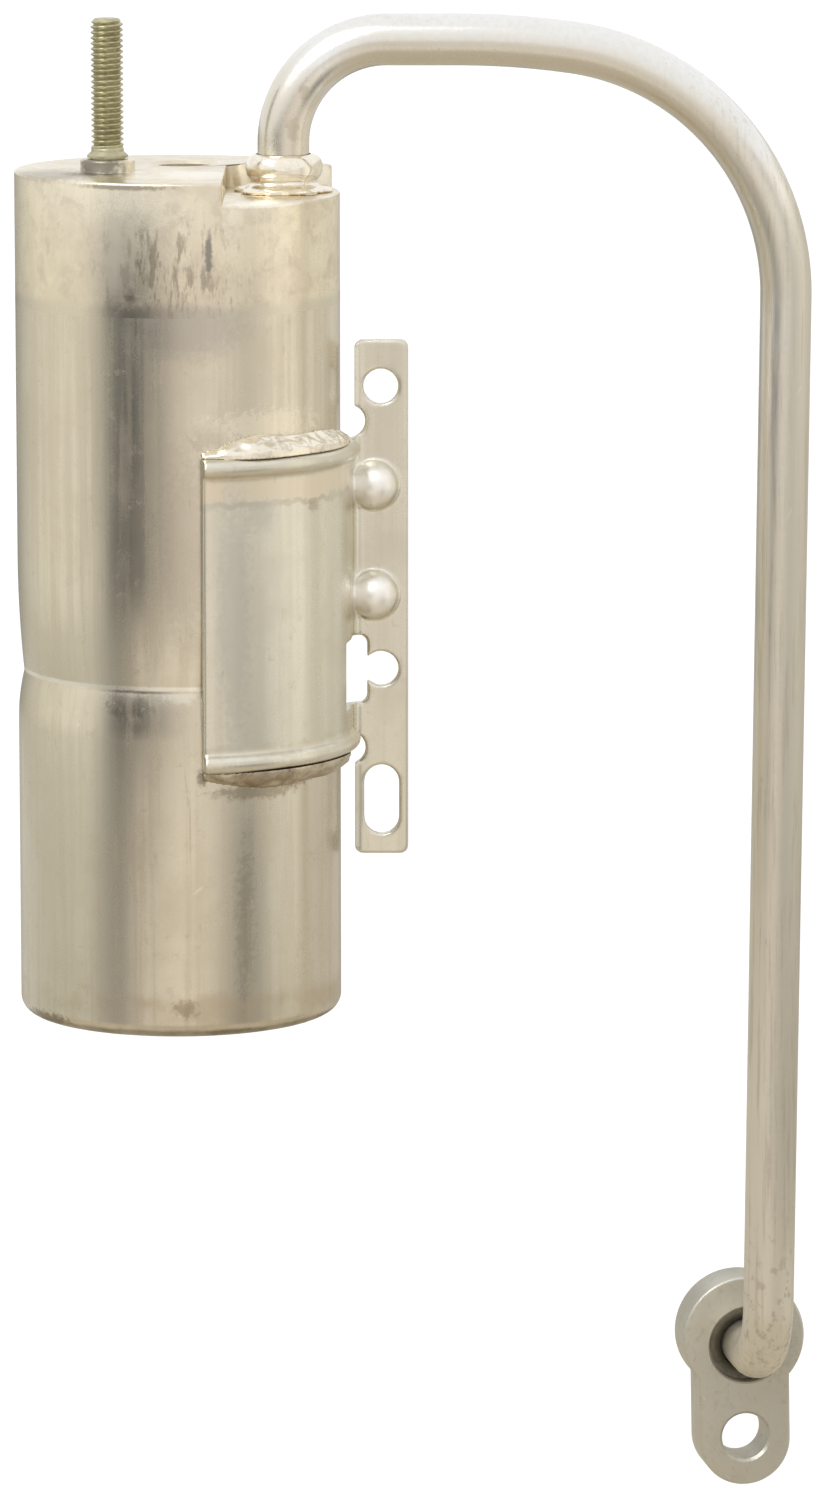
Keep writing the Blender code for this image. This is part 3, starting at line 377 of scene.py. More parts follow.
streakGroup = makeStreakGroup()
tarnishGroup = makeTarnishGroup()
stainAndLightPatchGroup = makeStainAndLightPatchGroup()
beltGroup = makeBeltGroup()
scratchGroup = makeScratchGroup()
print("shader groups built")


def useGroup(tree, group, vector, **values):
    node = addNode(tree, "ShaderNodeGroup", node_tree=group)
    tree.links.new(vector, node.inputs["Vector"])
    for label, value in values.items():
        node.inputs[label.replace("_", " ")].default_value = value
    return node.outputs["Mask"]


def tint(tree, colour, mask, other, share=1.0, blend="MIX"):
    node = addNode(tree, "ShaderNodeMix", data_type="RGBA", blend_type=blend)
    feed(tree, sums(tree, "MULTIPLY", mask, share), node.inputs["Factor"])
    feed(tree, colour if isinstance(colour, bpy.types.NodeSocket) else (*colour, 1.0), node.inputs["A"])
    feed(tree, (*other, 1.0), node.inputs["B"])
    return node.outputs["Result"]


# A metal with streaks, tarnish, scratches, stains and painted highlights and shade at given places, and belts at
# given heights
def metalFinish(name, look):
    material = bpy.data.materials.new(name)
    material.use_nodes = True
    tree = material.node_tree
    shader = tree.nodes["Principled BSDF"]
    shader.inputs["Metallic"].default_value = 1.0
    coords = addNode(tree, "ShaderNodeTexCoord")
    centred = addNode(tree, "ShaderNodeMapping")
    centred.inputs["Location"].default_value = -canFoot
    tree.links.new(coords.outputs["Object"], centred.inputs["Vector"])
    point = centred.outputs["Vector"]

    colour = look["base"]
    gloss = look["roughness"]
    height = 0.0
    if look.get("streakShare"):
        mask = useGroup(tree, streakGroup, point, Density=look["streakDensity"],
                        Lengthwise=look.get("streakLengthwise", 0.03))
        colour = tint(tree, colour, mask, look["streakColour"], look["streakShare"])
        gloss = sums(tree, "ADD", gloss, sums(tree, "MULTIPLY", mask, look.get("streakRough", 0.08)))
        height = sums(tree, "ADD", height, sums(tree, "MULTIPLY", mask, look.get("streakHeight", 0.3)))
    for scale, low, high, other, share, rough in look.get("tarnish", ()):
        mask = useGroup(tree, tarnishGroup, point, Scale=scale, Low=low, High=high)
        colour = tint(tree, colour, mask, other, share)
        gloss = sums(tree, "ADD", gloss, sums(tree, "MULTIPLY", mask, rough))
        height = sums(tree, "ADD", height, sums(tree, "MULTIPLY", mask, look.get("tarnishHeight", 0.2)))
    for belt in look.get("belts", ()):
        mask = useGroup(tree, beltGroup, point, Height=belt[0], Half_Width=belt[1], Ragged=belt[2],
                        Patchy=belt[3], Right_End=look.get("beltEnd", 1.0))
        colour = tint(tree, colour, mask, belt[4], belt[5])
        gloss = sums(tree, "ADD", gloss, sums(tree, "MULTIPLY", mask, belt[6]))
    for centre, size, ragged, other, share in look.get("stainsAndPaintedLight", ()):
        mask = useGroup(tree, stainAndLightPatchGroup, point, Centre=centre, Size=size, Ragged=ragged)
        colour = tint(tree, colour, mask, other, share)
        gloss = sums(tree, "ADD", gloss, sums(tree, "MULTIPLY", mask, look.get("stainAndLightRough", 0.12) * share))
    for centre, size, density, lengthwise, low, high, other, share in look.get("marks", ()):
        place = useGroup(tree, stainAndLightPatchGroup, point, Centre=centre, Size=size, Ragged=0.4)
        lines = useGroup(tree, streakGroup, point, Density=density, Lengthwise=lengthwise, Low=low, High=high)
        colour = tint(tree, colour, sums(tree, "MULTIPLY", place, lines), other, share)
    for tilt, density, amount, other in look.get("scratches", ()):
        mask = useGroup(tree, scratchGroup, point, Tilt=tilt, Density=density, Amount=amount)
        colour = tint(tree, colour, mask, other)
        height = sums(tree, "SUBTRACT", height, mask)
    grain = cloud(tree, point, look.get("grainScale", 2500.0), 3.0, 0.6)
    height = sums(tree, "ADD", height, sums(tree, "MULTIPLY", grain, look.get("grainHeight", 0.3)))
    gloss = sums(tree, "ADD", gloss, sums(tree, "MULTIPLY", sums(tree, "SUBTRACT", grain, 0.5),
                                          look.get("grainRough", 0.08)), clamp=True)
    feed(tree, colour, shader.inputs["Base Color"])
    feed(tree, gloss, shader.inputs["Roughness"])
    bump = addNode(tree, "ShaderNodeBump")
    bump.inputs["Strength"].default_value = look.get("bumpStrength", 0.25)
    bump.inputs["Distance"].default_value = look.get("bumpDistance", 0.00006)
    feed(tree, height, bump.inputs["Height"])
    tree.links.new(bump.outputs["Normal"], shader.inputs["Normal"])
    return material


# Can

canSize = {
    "radius": 0.030, "wall": 0.0016, "floor": 0.0030, "height": 0.1350, "footRadius": 0.0030,
    "grooveZ": 0.0644, "grooveDepth": 0.0011, "taperUp": 0.022, "taperDown": 0.009,
    "girthGroove": 0.0013, "girthLap": 0.0006, "girthCrown": 0.00002, "gap": 0.0003, "steps": 180,
}
rimZ = canSize["height"]
headerFoot = rimZ + canSize["gap"]

darkStain = (0.20, 0.17, 0.12)
brownStain = (0.30, 0.24, 0.16)
paleBloom = (0.86, 0.80, 0.68)

canLook = {
    "base": (0.75, 0.70, 0.59), "roughness": 0.20,
    "streakColour": (0.62, 0.56, 0.45), "streakDensity": 420.0, "streakShare": 0.55, "streakRough": 0.10,
    "tarnish": [
        (55.0, 0.42, 0.66, (0.66, 0.60, 0.48), 0.6, 0.06),
        (420.0, 0.56, 0.72, (0.56, 0.50, 0.40), 0.35, 0.08),
    ],
    "belts": [
        # Painted highlight: a thin white line along the groove's crease
        (0.0650, 0.0006, 0.0004, 0.25, (1.00, 0.98, 0.92), 0.80, 0.00),
        (0.0008, 0.0011, 0.0012, 0.35, darkStain, 0.85, 0.10),
        (0.0050, 0.0040, 0.0060, 0.85, (0.52, 0.43, 0.30), 0.45, 0.08),
    ],
    "stainsAndPaintedLight": [
        ((0.0020, -0.0298, 0.1310), (0.0150, 0.02, 0.0075), 0.35, (0.50, 0.47, 0.42), 0.70),
        ((0.0165, -0.0250, 0.1130), (0.0150, 0.02, 0.0036), 1.2, (0.90, 0.83, 0.68), 0.60),
        ((0.0060, -0.0294, 0.1110), (0.0040, 0.02, 0.0030), 1.2, (0.50, 0.44, 0.35), 0.40),
        ((0.0150, -0.0260, 0.0456), (0.0110, 0.02, 0.0018), 0.9, brownStain, 0.60),
        ((0.0050, -0.0297, 0.0484), (0.0014, 0.02, 0.0020), 0.9, darkStain, 0.70),
        ((-0.0240, -0.0170, 0.0016), (0.0080, 0.01, 0.0016), 1.0, darkStain, 0.75),
        # Painted shade on the can beside the bracket's left edge
        ((0.0022, -0.0300, 0.0910), (0.0058, 0.02, 0.0250), 0.5, (0.60, 0.54, 0.45), 0.65),
        ((-0.0088, -0.0282, 0.0620), (0.0052, 0.02, 0.0034), 0.9, (0.34, 0.30, 0.24), 0.65),
        # Painted highlight, speckled, on the can just below the groove
        ((0.0010, -0.0295, 0.0637), (0.0042, 0.02, 0.0018), 0.8, (0.90, 0.85, 0.74), 0.60),
        ((0.0126, -0.0272, 0.0215), (0.0022, 0.02, 0.0190), 1.4, (0.45, 0.40, 0.31), 0.45),
        ((0.0016, -0.0300, 0.0056), (0.0030, 0.02, 0.0020), 1.1, brownStain, 0.55),
        ((0.0091, -0.0291, 0.0487), (0.0035, 0.02, 0.0012), 1.0, darkStain, 0.70),
        ((0.0209, -0.0222, 0.0468), (0.0050, 0.02, 0.0014), 1.0, brownStain, 0.60),
        ((0.0027, -0.0299, 0.0391), (0.0002, 0.02, 0.0080), 0.4, (0.50, 0.46, 0.38), 0.60),
        ((0.0290, 0.0060, 0.0900), (0.02, 0.0050, 0.0220), 1.1, (0.60, 0.54, 0.42), 0.50),
        ((-0.0150, 0.0260, 0.1000), (0.0060, 0.02, 0.0200), 1.2, (0.58, 0.52, 0.41), 0.50),
    ],
    "scratches": [(0.10, 240.0, 0.5, (0.50, 0.46, 0.38)), (-0.9, 150.0, 0.5, (0.86, 0.83, 0.76))],
    "stainAndLightRough": 0.03, "bumpStrength": 0.22,
}


def grooveInset(height):
    above = height - canSize["grooveZ"]
    reach = canSize["taperUp"] if above > 0.0 else canSize["taperDown"]
    share = max(0.0, 1.0 - abs(above) / reach)
    return canSize["grooveDepth"] * share ** 2


def makeCan():
    radius = canSize["radius"]
    bore = radius - canSize["wall"]
    up = [canSize["grooveZ"] + canSize["taperUp"] * (1 - i / 14) ** 1.5 for i in range(14)]
    down = [canSize["grooveZ"] - canSize["taperDown"] * (i / 9) ** 1.5 for i in range(10)]
    heights = up + down
    innerFoot = max(canSize["footRadius"] - canSize["wall"], canSize["wall"] / 2)
    profile = [(0.0, canSize["floor"])]
    profile += arcPoints((bore - innerFoot, canSize["floor"] + innerFoot), innerFoot, -math.pi / 2, 0.0, 6)
    profile += [(bore - grooveInset(z), z) for z in reversed(heights)]
    profile += [(bore, rimZ), (radius - canSize["girthGroove"], rimZ), (radius, rimZ - canSize["girthGroove"])]
    profile += [(radius, rimZ - 0.0102)]
    profile += [(radius - grooveInset(z), z) for z in heights]
    profile += [(radius, 0.030), (radius, 0.012)]
    profile += arcPoints((radius - canSize["footRadius"], canSize["footRadius"]), canSize["footRadius"],
                         0.0, -math.pi / 2, 10)
    profile.append((0.0, 0.0))
    can = turn("canShell", profile, canSize["steps"])
    return finishPiece(can, "canShell", "can", metalFinish("drawnAluminium", canLook))


makeCan()


# Header

headerSize = {
    "height": 0.0222, "edge": 0.0005, "spigotLength": 0.008, "spigotChamfer": 0.0008,
    "pocketDepth": 0.0042, "pocketLeft": 0.0089, "pocketBack": 0.0094, "pocketCorner": 0.0030,
    "inlet": (0.0010, 0.0115), "inletRadius": 0.00575, "inletDepth": 0.0140, "inletPassage": 0.0038,
    "chamfer": 0.0006, "outlet": (0.0196, 0.0), "socketDepth": 0.0080, "outletPassage": 0.0032,
    "pickupDepth": 0.0050, "pickupRadius": 0.0040, "softEdge": 0.00028,
}
headerTop = headerFoot + headerSize["height"]
spigotEnd = headerFoot - headerSize["spigotLength"]
pocketFloor = headerTop - headerSize["pocketDepth"]

studSize = {
    "place": (-0.01255, -0.0054), "radius": 0.00299, "height": 0.0281, "depth": 0.0100, "tip": 0.0008,
    "flareRadius": 0.00375, "flareHeight": 0.0011, "bossRadius": 0.0050, "bossHeight": 0.0024,
    "pitch": 0.0010, "threadDepth": 0.00058,
}
tubeSize = {
    "radius": 0.00476, "wall": 0.0012, "rise": 0.0238, "firstBend": 0.0190, "topRun": 0.0133,
    "slackBend": 0.150, "slackAngle": 8.0, "mainBend": 0.046, "mainAngle": 82.5, "drop": 0.1915,
    "elbow": 0.012, "elbowRun": 0.005, "sides": 48,
}

headerLook = {
    "base": (0.88, 0.81, 0.65), "roughness": 0.25,
    "streakColour": (0.68, 0.62, 0.51), "streakDensity": 300.0, "streakLengthwise": 0.12,
    "streakShare": 0.35, "streakRough": 0.05,
    "tarnish": [
        (70.0, 0.44, 0.64, (0.70, 0.62, 0.50), 0.60, 0.06),
        (210.0, 0.48, 0.64, (0.62, 0.54, 0.44), 0.45, 0.06),
        (330.0, 0.55, 0.72, (0.55, 0.48, 0.38), 0.40, 0.06),
    ],
    "stainsAndPaintedLight": [
        ((0.0066, -0.0291, 0.1446), (0.0009, 0.02, 0.0056), 0.8, (0.22, 0.21, 0.20), 0.80),
        ((0.0056, -0.0293, 0.1400), (0.0007, 0.02, 0.0034), 0.8, (0.32, 0.29, 0.25), 0.65),
        ((-0.0078, -0.0290, 0.1454), (0.0006, 0.02, 0.0026), 0.9, (0.26, 0.23, 0.18), 0.70),
        ((-0.0082, -0.0288, 0.1412), (0.0008, 0.02, 0.0040), 0.9, (0.24, 0.21, 0.17), 0.75),
        ((-0.0078, -0.0289, 0.1372), (0.0013, 0.02, 0.0024), 0.8, (0.22, 0.19, 0.15), 0.80),
        ((-0.0104, -0.0283, 0.1430), (0.0046, 0.02, 0.0110), 0.8, (0.60, 0.56, 0.49), 0.45),
        # Painted shade on the left of the top face, round the stud's foot
        ((-0.0225, -0.0120, 0.1578), (0.0120, 0.0160, 0.0016), 0.5, (0.46, 0.42, 0.34), 0.80),
        # Painted highlight on the top face right of the stud
        ((0.0035, -0.0120, 0.1578), (0.0100, 0.0120, 0.0012), 0.5, (0.98, 0.94, 0.85), 0.80),
        # Painted highlight along the right part of the top's front rim
        ((0.0190, -0.0240, 0.1532), (0.0125, 0.0100, 0.0007), 0.5, (1.00, 0.97, 0.88), 0.90),
        # Painted shade: a thin dark line just under the top's front edge
        ((-0.0088, -0.0286, 0.1567), (0.0110, 0.02, 0.0007), 0.6, (0.30, 0.25, 0.18), 0.75),
        # Painted shade on the front wall of the stud's boss
        ((-0.0150, -0.0104, 0.1587), (0.0078, 0.006, 0.0032), 0.6, (0.22, 0.20, 0.16), 0.90),
    ],
    "marks": [
        ((0.0000, -0.0298, 0.1415), (0.0190, 0.02, 0.0125), 620.0, 0.24, 0.51, 0.62, (0.42, 0.36, 0.29), 0.75),
        ((0.0030, -0.0298, 0.1380), (0.0160, 0.02, 0.0065), 1000.0, 0.30, 0.51, 0.62, (0.44, 0.38, 0.30), 0.70),
    ],
    "scratches": [(0.05, 260.0, 0.5, (0.55, 0.50, 0.42)), (1.2, 170.0, 0.4, (0.90, 0.86, 0.77))],
    "bumpStrength": 0.30,
}


def boreTool(name, mouth, radius, floor, passage, end, steps=72):
    flare = headerSize["chamfer"]
    return turn(name, [(0.0, mouth + 0.002), (radius + flare + 0.002, mouth + 0.002),
                       (radius, mouth - flare), (radius, floor), (passage, floor), (passage, end),
                       (0.0, end)], steps)


def makeHeader():
    radius = canSize["radius"]
    edge = headerSize["edge"]
    spigot = radius - canSize["wall"] - canSize["gap"]
    profile = [(0.0, headerTop)]
    profile += [(x, z) for x, z in arcPoints((radius - edge, headerTop - edge), edge, math.pi / 2, 0.0, 4)]
    profile += [(radius, headerFoot + canSize["girthGroove"]), (radius - canSize["girthGroove"], headerFoot),
                (spigot, headerFoot), (spigot, spigotEnd + headerSize["spigotChamfer"]),
                (spigot - headerSize["spigotChamfer"], spigotEnd), (0.0, spigotEnd)]
    header = turn("headerBody", profile, canSize["steps"])
    x, y = studSize["place"]
    boss = turn("boss", [(0.0, headerTop + studSize["bossHeight"])]
                + arcPoints((studSize["bossRadius"] - edge, headerTop + studSize["bossHeight"] - edge),
                            edge, math.pi / 2, 0.0, 4)
                + [(studSize["bossRadius"], headerTop - 0.002), (0.0, headerTop - 0.002)], 72)
    combine(header, movePiece(boss, (x, y, 0.0)), "UNION")
    reach = radius + 0.002
    pocket = boxTool("pocket", (headerSize["pocketLeft"], -reach, pocketFloor),
                     (reach, headerSize["pocketBack"], headerTop + 0.003), headerSize["pocketCorner"])
    combine(header, pocket)
    inlet = boreTool("inlet", headerTop, headerSize["inletRadius"], headerTop - headerSize["inletDepth"],
                     headerSize["inletPassage"], spigotEnd - 0.002)
    combine(header, movePiece(inlet, (*headerSize["inlet"], 0.0)))
    outlet = boreTool("outlet", pocketFloor, tubeSize["radius"] + canSize["gap"],
                      pocketFloor - headerSize["socketDepth"], headerSize["outletPassage"], spigotEnd - 0.002, 48)
    combine(header, movePiece(outlet, (*headerSize["outlet"], 0.0)))
    wide = headerSize["pickupRadius"] + canSize["gap"]
    pickup = turn("pickup", [(0.0, spigotEnd + headerSize["pickupDepth"]),
                             (wide, spigotEnd + headerSize["pickupDepth"]),
                             (wide, spigotEnd - 0.002), (0.0, spigotEnd - 0.002)], 40)
    combine(header, movePiece(pickup, (*headerSize["outlet"], 0.0)))
    wide = studSize["radius"] + canSize["gap"]
    hole = turn("studHole", [(0.0, headerTop + studSize["bossHeight"] + 0.002),
                             (wide, headerTop + studSize["bossHeight"] + 0.002),
                             (wide, headerTop - studSize["depth"] - canSize["gap"]),
                             (0.0, headerTop - studSize["depth"] - canSize["gap"])], 40)
    combine(header, movePiece(hole, (x, y, 0.0)))
    applyModifier(header, "BEVEL", width=headerSize["softEdge"], segments=2, limit_method="ANGLE",
                  angle_limit=math.radians(50.0), use_clamp_overlap=False)
    startEdit(header)
    bpy.ops.mesh.fill_holes(sides=12)
    endEdit()
    return finishPiece(header, "headerBody", "header",
                       metalFinish("machinedAluminium", headerLook), 30.0)


makeHeader()


# Weld ring between can and header

def makeHeaderWeld():
    middle = rimZ + canSize["gap"] / 2
    half = canSize["girthGroove"] + canSize["gap"] / 2 + canSize["girthLap"]
    radius = canSize["radius"]
    crown = canSize["girthCrown"]
    section = [(radius + crown * share, middle + half * up) for up, share in
               ((1.0, 0.5), (0.6, 0.9), (0.2, 1.0), (-0.2, 1.0), (-0.6, 0.9), (-1.0, 0.5))]
    section.append((radius - canSize["girthGroove"], middle))
    # Above the joint it has the header's finish, below it the can's
    look = dict(headerLook, belts=[(0.1330, 0.0034, 0.0003, 0.0, (0.69, 0.64, 0.53), 0.95, -0.07)])
    look["stainAndLightRough"] = canLook["stainAndLightRough"]
    look["stainsAndPaintedLight"] = headerLook["stainsAndPaintedLight"] + [
        ((0.0020, -0.0298, 0.1328), (0.0150, 0.02, 0.0040), 0.25, (0.50, 0.47, 0.42), 0.70)]
    ring = turn("headerWeld", section, canSize["steps"], closed=True)
    return finishPiece(ring, "headerWeld", "header_weld", metalFinish("girthWeld", look))


makeHeaderWeld()


# Stud with its thread

def makeStud():
    seat = studSize["bossHeight"] + canSize["gap"]
    radius = studSize["radius"]
    top = studSize["height"]
    start = seat + studSize["flareHeight"] + 0.0004
    profile = [(0.0, top), (radius - studSize["tip"], top)]
    rows = int((top - studSize["tip"] * 0.35 - start) / studSize["pitch"] * 10)
    for i in range(rows + 1):
        profile.append((radius, top - studSize["tip"] * 0.35 - (top - studSize["tip"] * 0.35 - start) * i / rows))
    profile += [(radius, seat + studSize["flareHeight"]),
                (studSize["flareRadius"], seat + studSize["flareHeight"] / 3), (studSize["flareRadius"], seat),
                (radius, seat), (radius, -studSize["depth"]), (0.0, -studSize["depth"])]
    stud = turn("threadedStud", profile, 48)
    # The rows between flare and tip follow one helix, whose crests stay at the stud's radius
    for vertex in stud.data.vertices:
        height = vertex.co.z
        reach = math.hypot(vertex.co.x, vertex.co.y)
        if height < start - 0.00005 or reach < radius * 0.9:
            continue
        angle = math.atan2(vertex.co.y, vertex.co.x)
        phase = (height / studSize["pitch"] - angle / fullTurn) % 1.0
        valley = max(0.0, 1.0 - abs(phase - 0.5) / 0.42)
        fade = min(1.0, (height - start) / studSize["pitch"])
        cut = studSize["threadDepth"] * min(1.0, valley * 1.12) * fade
        tipLimit = radius - max(0.0, height - (top - studSize["tip"]))
        share = min(radius - cut, tipLimit) / reach
        vertex.co.x *= share
        vertex.co.y *= share
    movePiece(stud, (*studSize["place"], headerTop))
    look = {
        "base": (0.52, 0.49, 0.33), "roughness": 0.34,
        "tarnish": [
            (380.0, 0.42, 0.68, (0.34, 0.31, 0.20), 0.6, 0.12),
            (140.0, 0.50, 0.70, (0.64, 0.60, 0.44), 0.5, 0.04),
        ],
        "grainHeight": 0.5, "bumpStrength": 0.35,
    }
    return finishPiece(stud, "threadedStud", "mounting_stud", metalFinish("yellowZinc", look), 40.0)


makeStud()


# Outlet tube

def turnRoute(route, heading, axis, radius, degrees, steps):
    angle = math.radians(degrees)
    pivot = route[-1] + axis.cross(heading) * radius
    arm = route[-1] - pivot
    for i in range(1, steps + 1):
        route.append(pivot + Matrix.Rotation(angle * i / steps, 3, axis) @ arm)
    return Matrix.Rotation(angle, 3, axis) @ heading


blockSize = {
    "yaw": 10.0, "roll": -1.2, "thickness": 0.0090, "sidestep": -0.0007, "headRise": 0.0015,
    "headRadius": 0.0118, "lugRadius": 0.0088, "lugDrop": 0.0188, "boltDrop": 0.0181,
    "boltHole": 0.0045, "edge": 0.0005, "recess": 0.0074, "recessDepth": 0.0032, "socket": 0.0028,
    "pilotRadius": 0.0059, "pilotLength": 0.0055, "pilotBore": 0.0034, "ringRadius": 0.0009,
    "ringSeat": 0.0028, "ringHalf": 0.0013, "ringDepth": 0.0014, "brazeLeg": 0.0016, "brazeHollow": 0.4,
}


def tubeRoute():
    side = Vector((0.0, 1.0, 0.0))
    heading = Vector((0.0, 0.0, 1.0))
    x, y = headerSize["outlet"]
    route = [Vector((x, y, pocketFloor - headerSize["socketDepth"] + canSize["gap"]))]
    route.append(Vector((x, y, headerTop + tubeSize["rise"] - tubeSize["firstBend"])))
    heading = turnRoute(route, heading, side, tubeSize["firstBend"], 90.0, 26)
    route.append(route[-1] + heading * tubeSize["topRun"])
    heading = turnRoute(route, heading, side, tubeSize["slackBend"], tubeSize["slackAngle"], 6)
    heading = turnRoute(route, heading, side, tubeSize["mainBend"], tubeSize["mainAngle"], 44)
    straight = route[-1]
    for i in range(1, 9):
        route.append(straight + heading * tubeSize["drop"] * i / 8)
    yaw = math.radians(blockSize["yaw"])
    into = Vector((-math.sin(yaw), math.cos(yaw), 0.0))
    axis = heading.cross(into).normalized()
    turnRoute(route, heading, axis, tubeSize["elbow"], math.degrees(heading.angle(into)), 20)
    face = route[-1] + into * tubeSize["elbowRun"]
    route.append(face + into * (blockSize["recessDepth"] + blockSize["socket"] - canSize["gap"]))
    return route, face


tubePoints, blockFace = tubeRoute()

tubeLook = {
    # The near-white base is a painted reflection, which the belts and the patch on the rise leave showing along the
    # top run
    "base": (0.88, 0.88, 0.87), "roughness": 0.15,
    "streakColour": (0.66, 0.61, 0.52), "streakDensity": 900.0, "streakLengthwise": 0.025,
    "streakShare": 0.14, "streakRough": 0.03,
    "tarnish": [
        (60.0, 0.45, 0.68, (0.72, 0.67, 0.58), 0.25, 0.05),
        (500.0, 0.60, 0.72, (0.52, 0.46, 0.36), 0.20, 0.06),
    ],
    # Belts by height tone the tube below its top run back to beige, around the painted reflection
    "belts": [
        (0.0300, 0.1500, 0.0100, 0.0, (0.78, 0.73, 0.63), 0.95, 0.24),
        (-0.0600, 0.1000, 0.0100, 0.0, (0.77, 0.73, 0.64), 0.95, 0.20),
    ],
    "marks": [
        ((0.1150, 0.0, 0.0400), (0.0400, 0.04, 0.2000), 1100.0, 0.04, 0.50, 0.64, (0.50, 0.46, 0.38), 0.45),
        ((0.1120, 0.0, -0.0640), (0.0200, 0.03, 0.0300), 420.0, 0.70, 0.54, 0.62, (0.44, 0.41, 0.35), 0.45),
    ],
    "stainsAndPaintedLight": [
        # Tones the rise back to beige, around the painted reflection of the near-white base
        ((0.0200, 0.0, 0.1590), (0.0170, 0.03, 0.0270), 0.10, (0.74, 0.69, 0.59), 0.95),
        ((0.0215, -0.0040, 0.1650), (0.0016, 0.008, 0.0030), 1.1, (0.50, 0.44, 0.34), 0.45),
        ((0.0235, -0.0040, 0.1720), (0.0012, 0.008, 0.0026), 1.1, (0.48, 0.42, 0.33), 0.45),
    ],
    "stainAndLightRough": 0.08,
    # Painted shade along the inside of the top run and long bend, and along the outside of the drop:
    # the points of the route between which each band lies, its reach, how much longer it is upright, its place
    # towards the inside, the step between its patches, colour and share
    "paintedSideShade": [
        (24, 78, 0.0098, 1.0, 0.0048, 0.0066, (0.71, 0.67, 0.58), 0.78),
        (76, 85, 0.0062, 5.0, -0.0036, 0.0150, (0.62, 0.59, 0.52), 0.75),
    ],
    "scratches": [(0.06, 320.0, 0.6, (0.45, 0.40, 0.32)), (-0.5, 200.0, 0.4, (0.84, 0.81, 0.74))],
    "bumpStrength": 0.28,
}


# Overlapping patches of painted shade along one side of the tube
def paintedSideShadePatches():
    stainsAndPaintedLight = []
    for first, last, reach, upright, inwards, step, colour, share in tubeLook["paintedSideShade"]:
        ahead = 0.0
        for start, end in zip(tubePoints[first:last], tubePoints[first + 1:last + 1]):
            length = (end - start).length
            heading = (end - start) / length
            outward = Vector((-heading.z, 0.0, heading.x))
            while ahead < length:
                centre = start + heading * ahead - outward * inwards
                stainsAndPaintedLight.append((tuple(centre), (reach, 3 * reach, reach * upright), 0.10, colour, share))
                ahead += step
            ahead -= length
    return stainsAndPaintedLight


def makeTube():
    clearSelection()
    bpy.ops.curve.primitive_bezier_curve_add(location=(0, 0, 0))
    piece = bpy.context.object
    curve = piece.data
    curve.splines.clear()
    curve.dimensions = "3D"
    curve.bevel_depth = tubeSize["radius"]
    curve.bevel_resolution = tubeSize["sides"] // 4 - 2
    spline = curve.splines.new("POLY")
    spline.points.add(len(tubePoints) - 1)
    for corner, point in zip(spline.points, tubePoints):
        corner.co = (*point, 1.0)
    makeActive(piece)
    bpy.ops.object.convert(target="MESH")
    piece = bpy.context.object
    tidyMesh(piece)
    applyModifier(piece, "SOLIDIFY", thickness=tubeSize["wall"], offset=-1.0, use_even_offset=True)
    look = dict(tubeLook, stainsAndPaintedLight=tubeLook["stainsAndPaintedLight"] + paintedSideShadePatches())
    return finishPiece(piece, "outletTube", "outlet_tube", metalFinish("tubeAluminium", look),
                       50.0)


makeTube()


# Weld collar at the tube's foot

collarSize = {
    "radius": 0.0070, "height": 0.0070, "skirtRadius": 0.0088, "skirtEdge": 0.0004,
    "skirtHeight": 0.0009, "waistRadius": 0.0061, "waistHeight": 0.0019, "lump": 0.00026, "runOut": 0.0016, "seed": 7,
}
weldLook = {
    "base": (0.92, 0.86, 0.74), "roughness": 0.17,
    "tarnish": [
        (180.0, 0.45, 0.70, (0.62, 0.56, 0.45), 0.55, 0.12),
        (700.0, 0.58, 0.72, (0.40, 0.35, 0.27), 0.45, 0.12),
    ],
    "bumpStrength": 0.30, "bumpDistance": 0.0001,
}
weldMetal = metalFinish("weldMetal", weldLook)


def makeCollar():
    inner = tubeSize["radius"] + canSize["gap"]
    size = collarSize
    middle = (size["height"] + size["waistHeight"]) / 2
    rise = (size["height"] - size["waistHeight"]) / 2
    profile = [(inner, 0.00006), (size["skirtRadius"] - 0.0003, 0.00006),
               (size["skirtRadius"], 0.0005), (size["skirtRadius"] - size["skirtEdge"], size["skirtHeight"]),
               (size["waistRadius"] + 0.0009, size["skirtHeight"] + 0.0003),
               (size["waistRadius"] + 0.0002, size["waistHeight"] - 0.0003),
               (size["waistRadius"], size["waistHeight"])]
    for degrees in range(-60, 90, 10):
        angle = math.radians(degrees)
        profile.append((inner + (size["radius"] - inner) * math.cos(angle), middle + rise * math.sin(angle)))
    profile.append((inner, size["height"]))
    collar = turn("tubeCollar", profile, 96, closed=True)
    rng = random.Random(size["seed"])
    waves = [(rng.uniform(0.4, 1.0), rng.randint(2, 6), rng.uniform(0.0, fullTurn)) for _ in range(4)]
    for vertex in collar.data.vertices:
        reach = math.hypot(vertex.co.x, vertex.co.y)
        outer = min(1.0, max(0.0, (reach - inner) / 0.0008))
        angle = math.atan2(vertex.co.y, vertex.co.x)
        lump = size["lump"] * sum(a * math.sin(n * angle + p) for a, n, p in waves) / 2
        lump += 0.00022 * noise.noise(vertex.co * 420.0)
        # The skirt runs out unevenly over the pocket's floor
        if vertex.co.z < size["waistHeight"] and reach > size["waistRadius"] + 0.0010:
            lump += size["runOut"] * noise.noise(Vector((math.cos(angle), math.sin(angle), 0.4)) * 2.2)
            vertex.co.z += 0.0003 * noise.noise(vertex.co * 500.0) if vertex.co.z > 0.0004 else 0.0
        share = (reach + lump * outer) / reach
        vertex.co.x *= share
        vertex.co.y *= share
    movePiece(collar, (*headerSize["outlet"], pocketFloor))
    return finishPiece(collar, "tubeCollar", "outlet_weld", weldMetal, 60.0)


makeCollar()


# Block fitting, with its braze and seal; modelled with the port's axis along -Y, then set on its seat

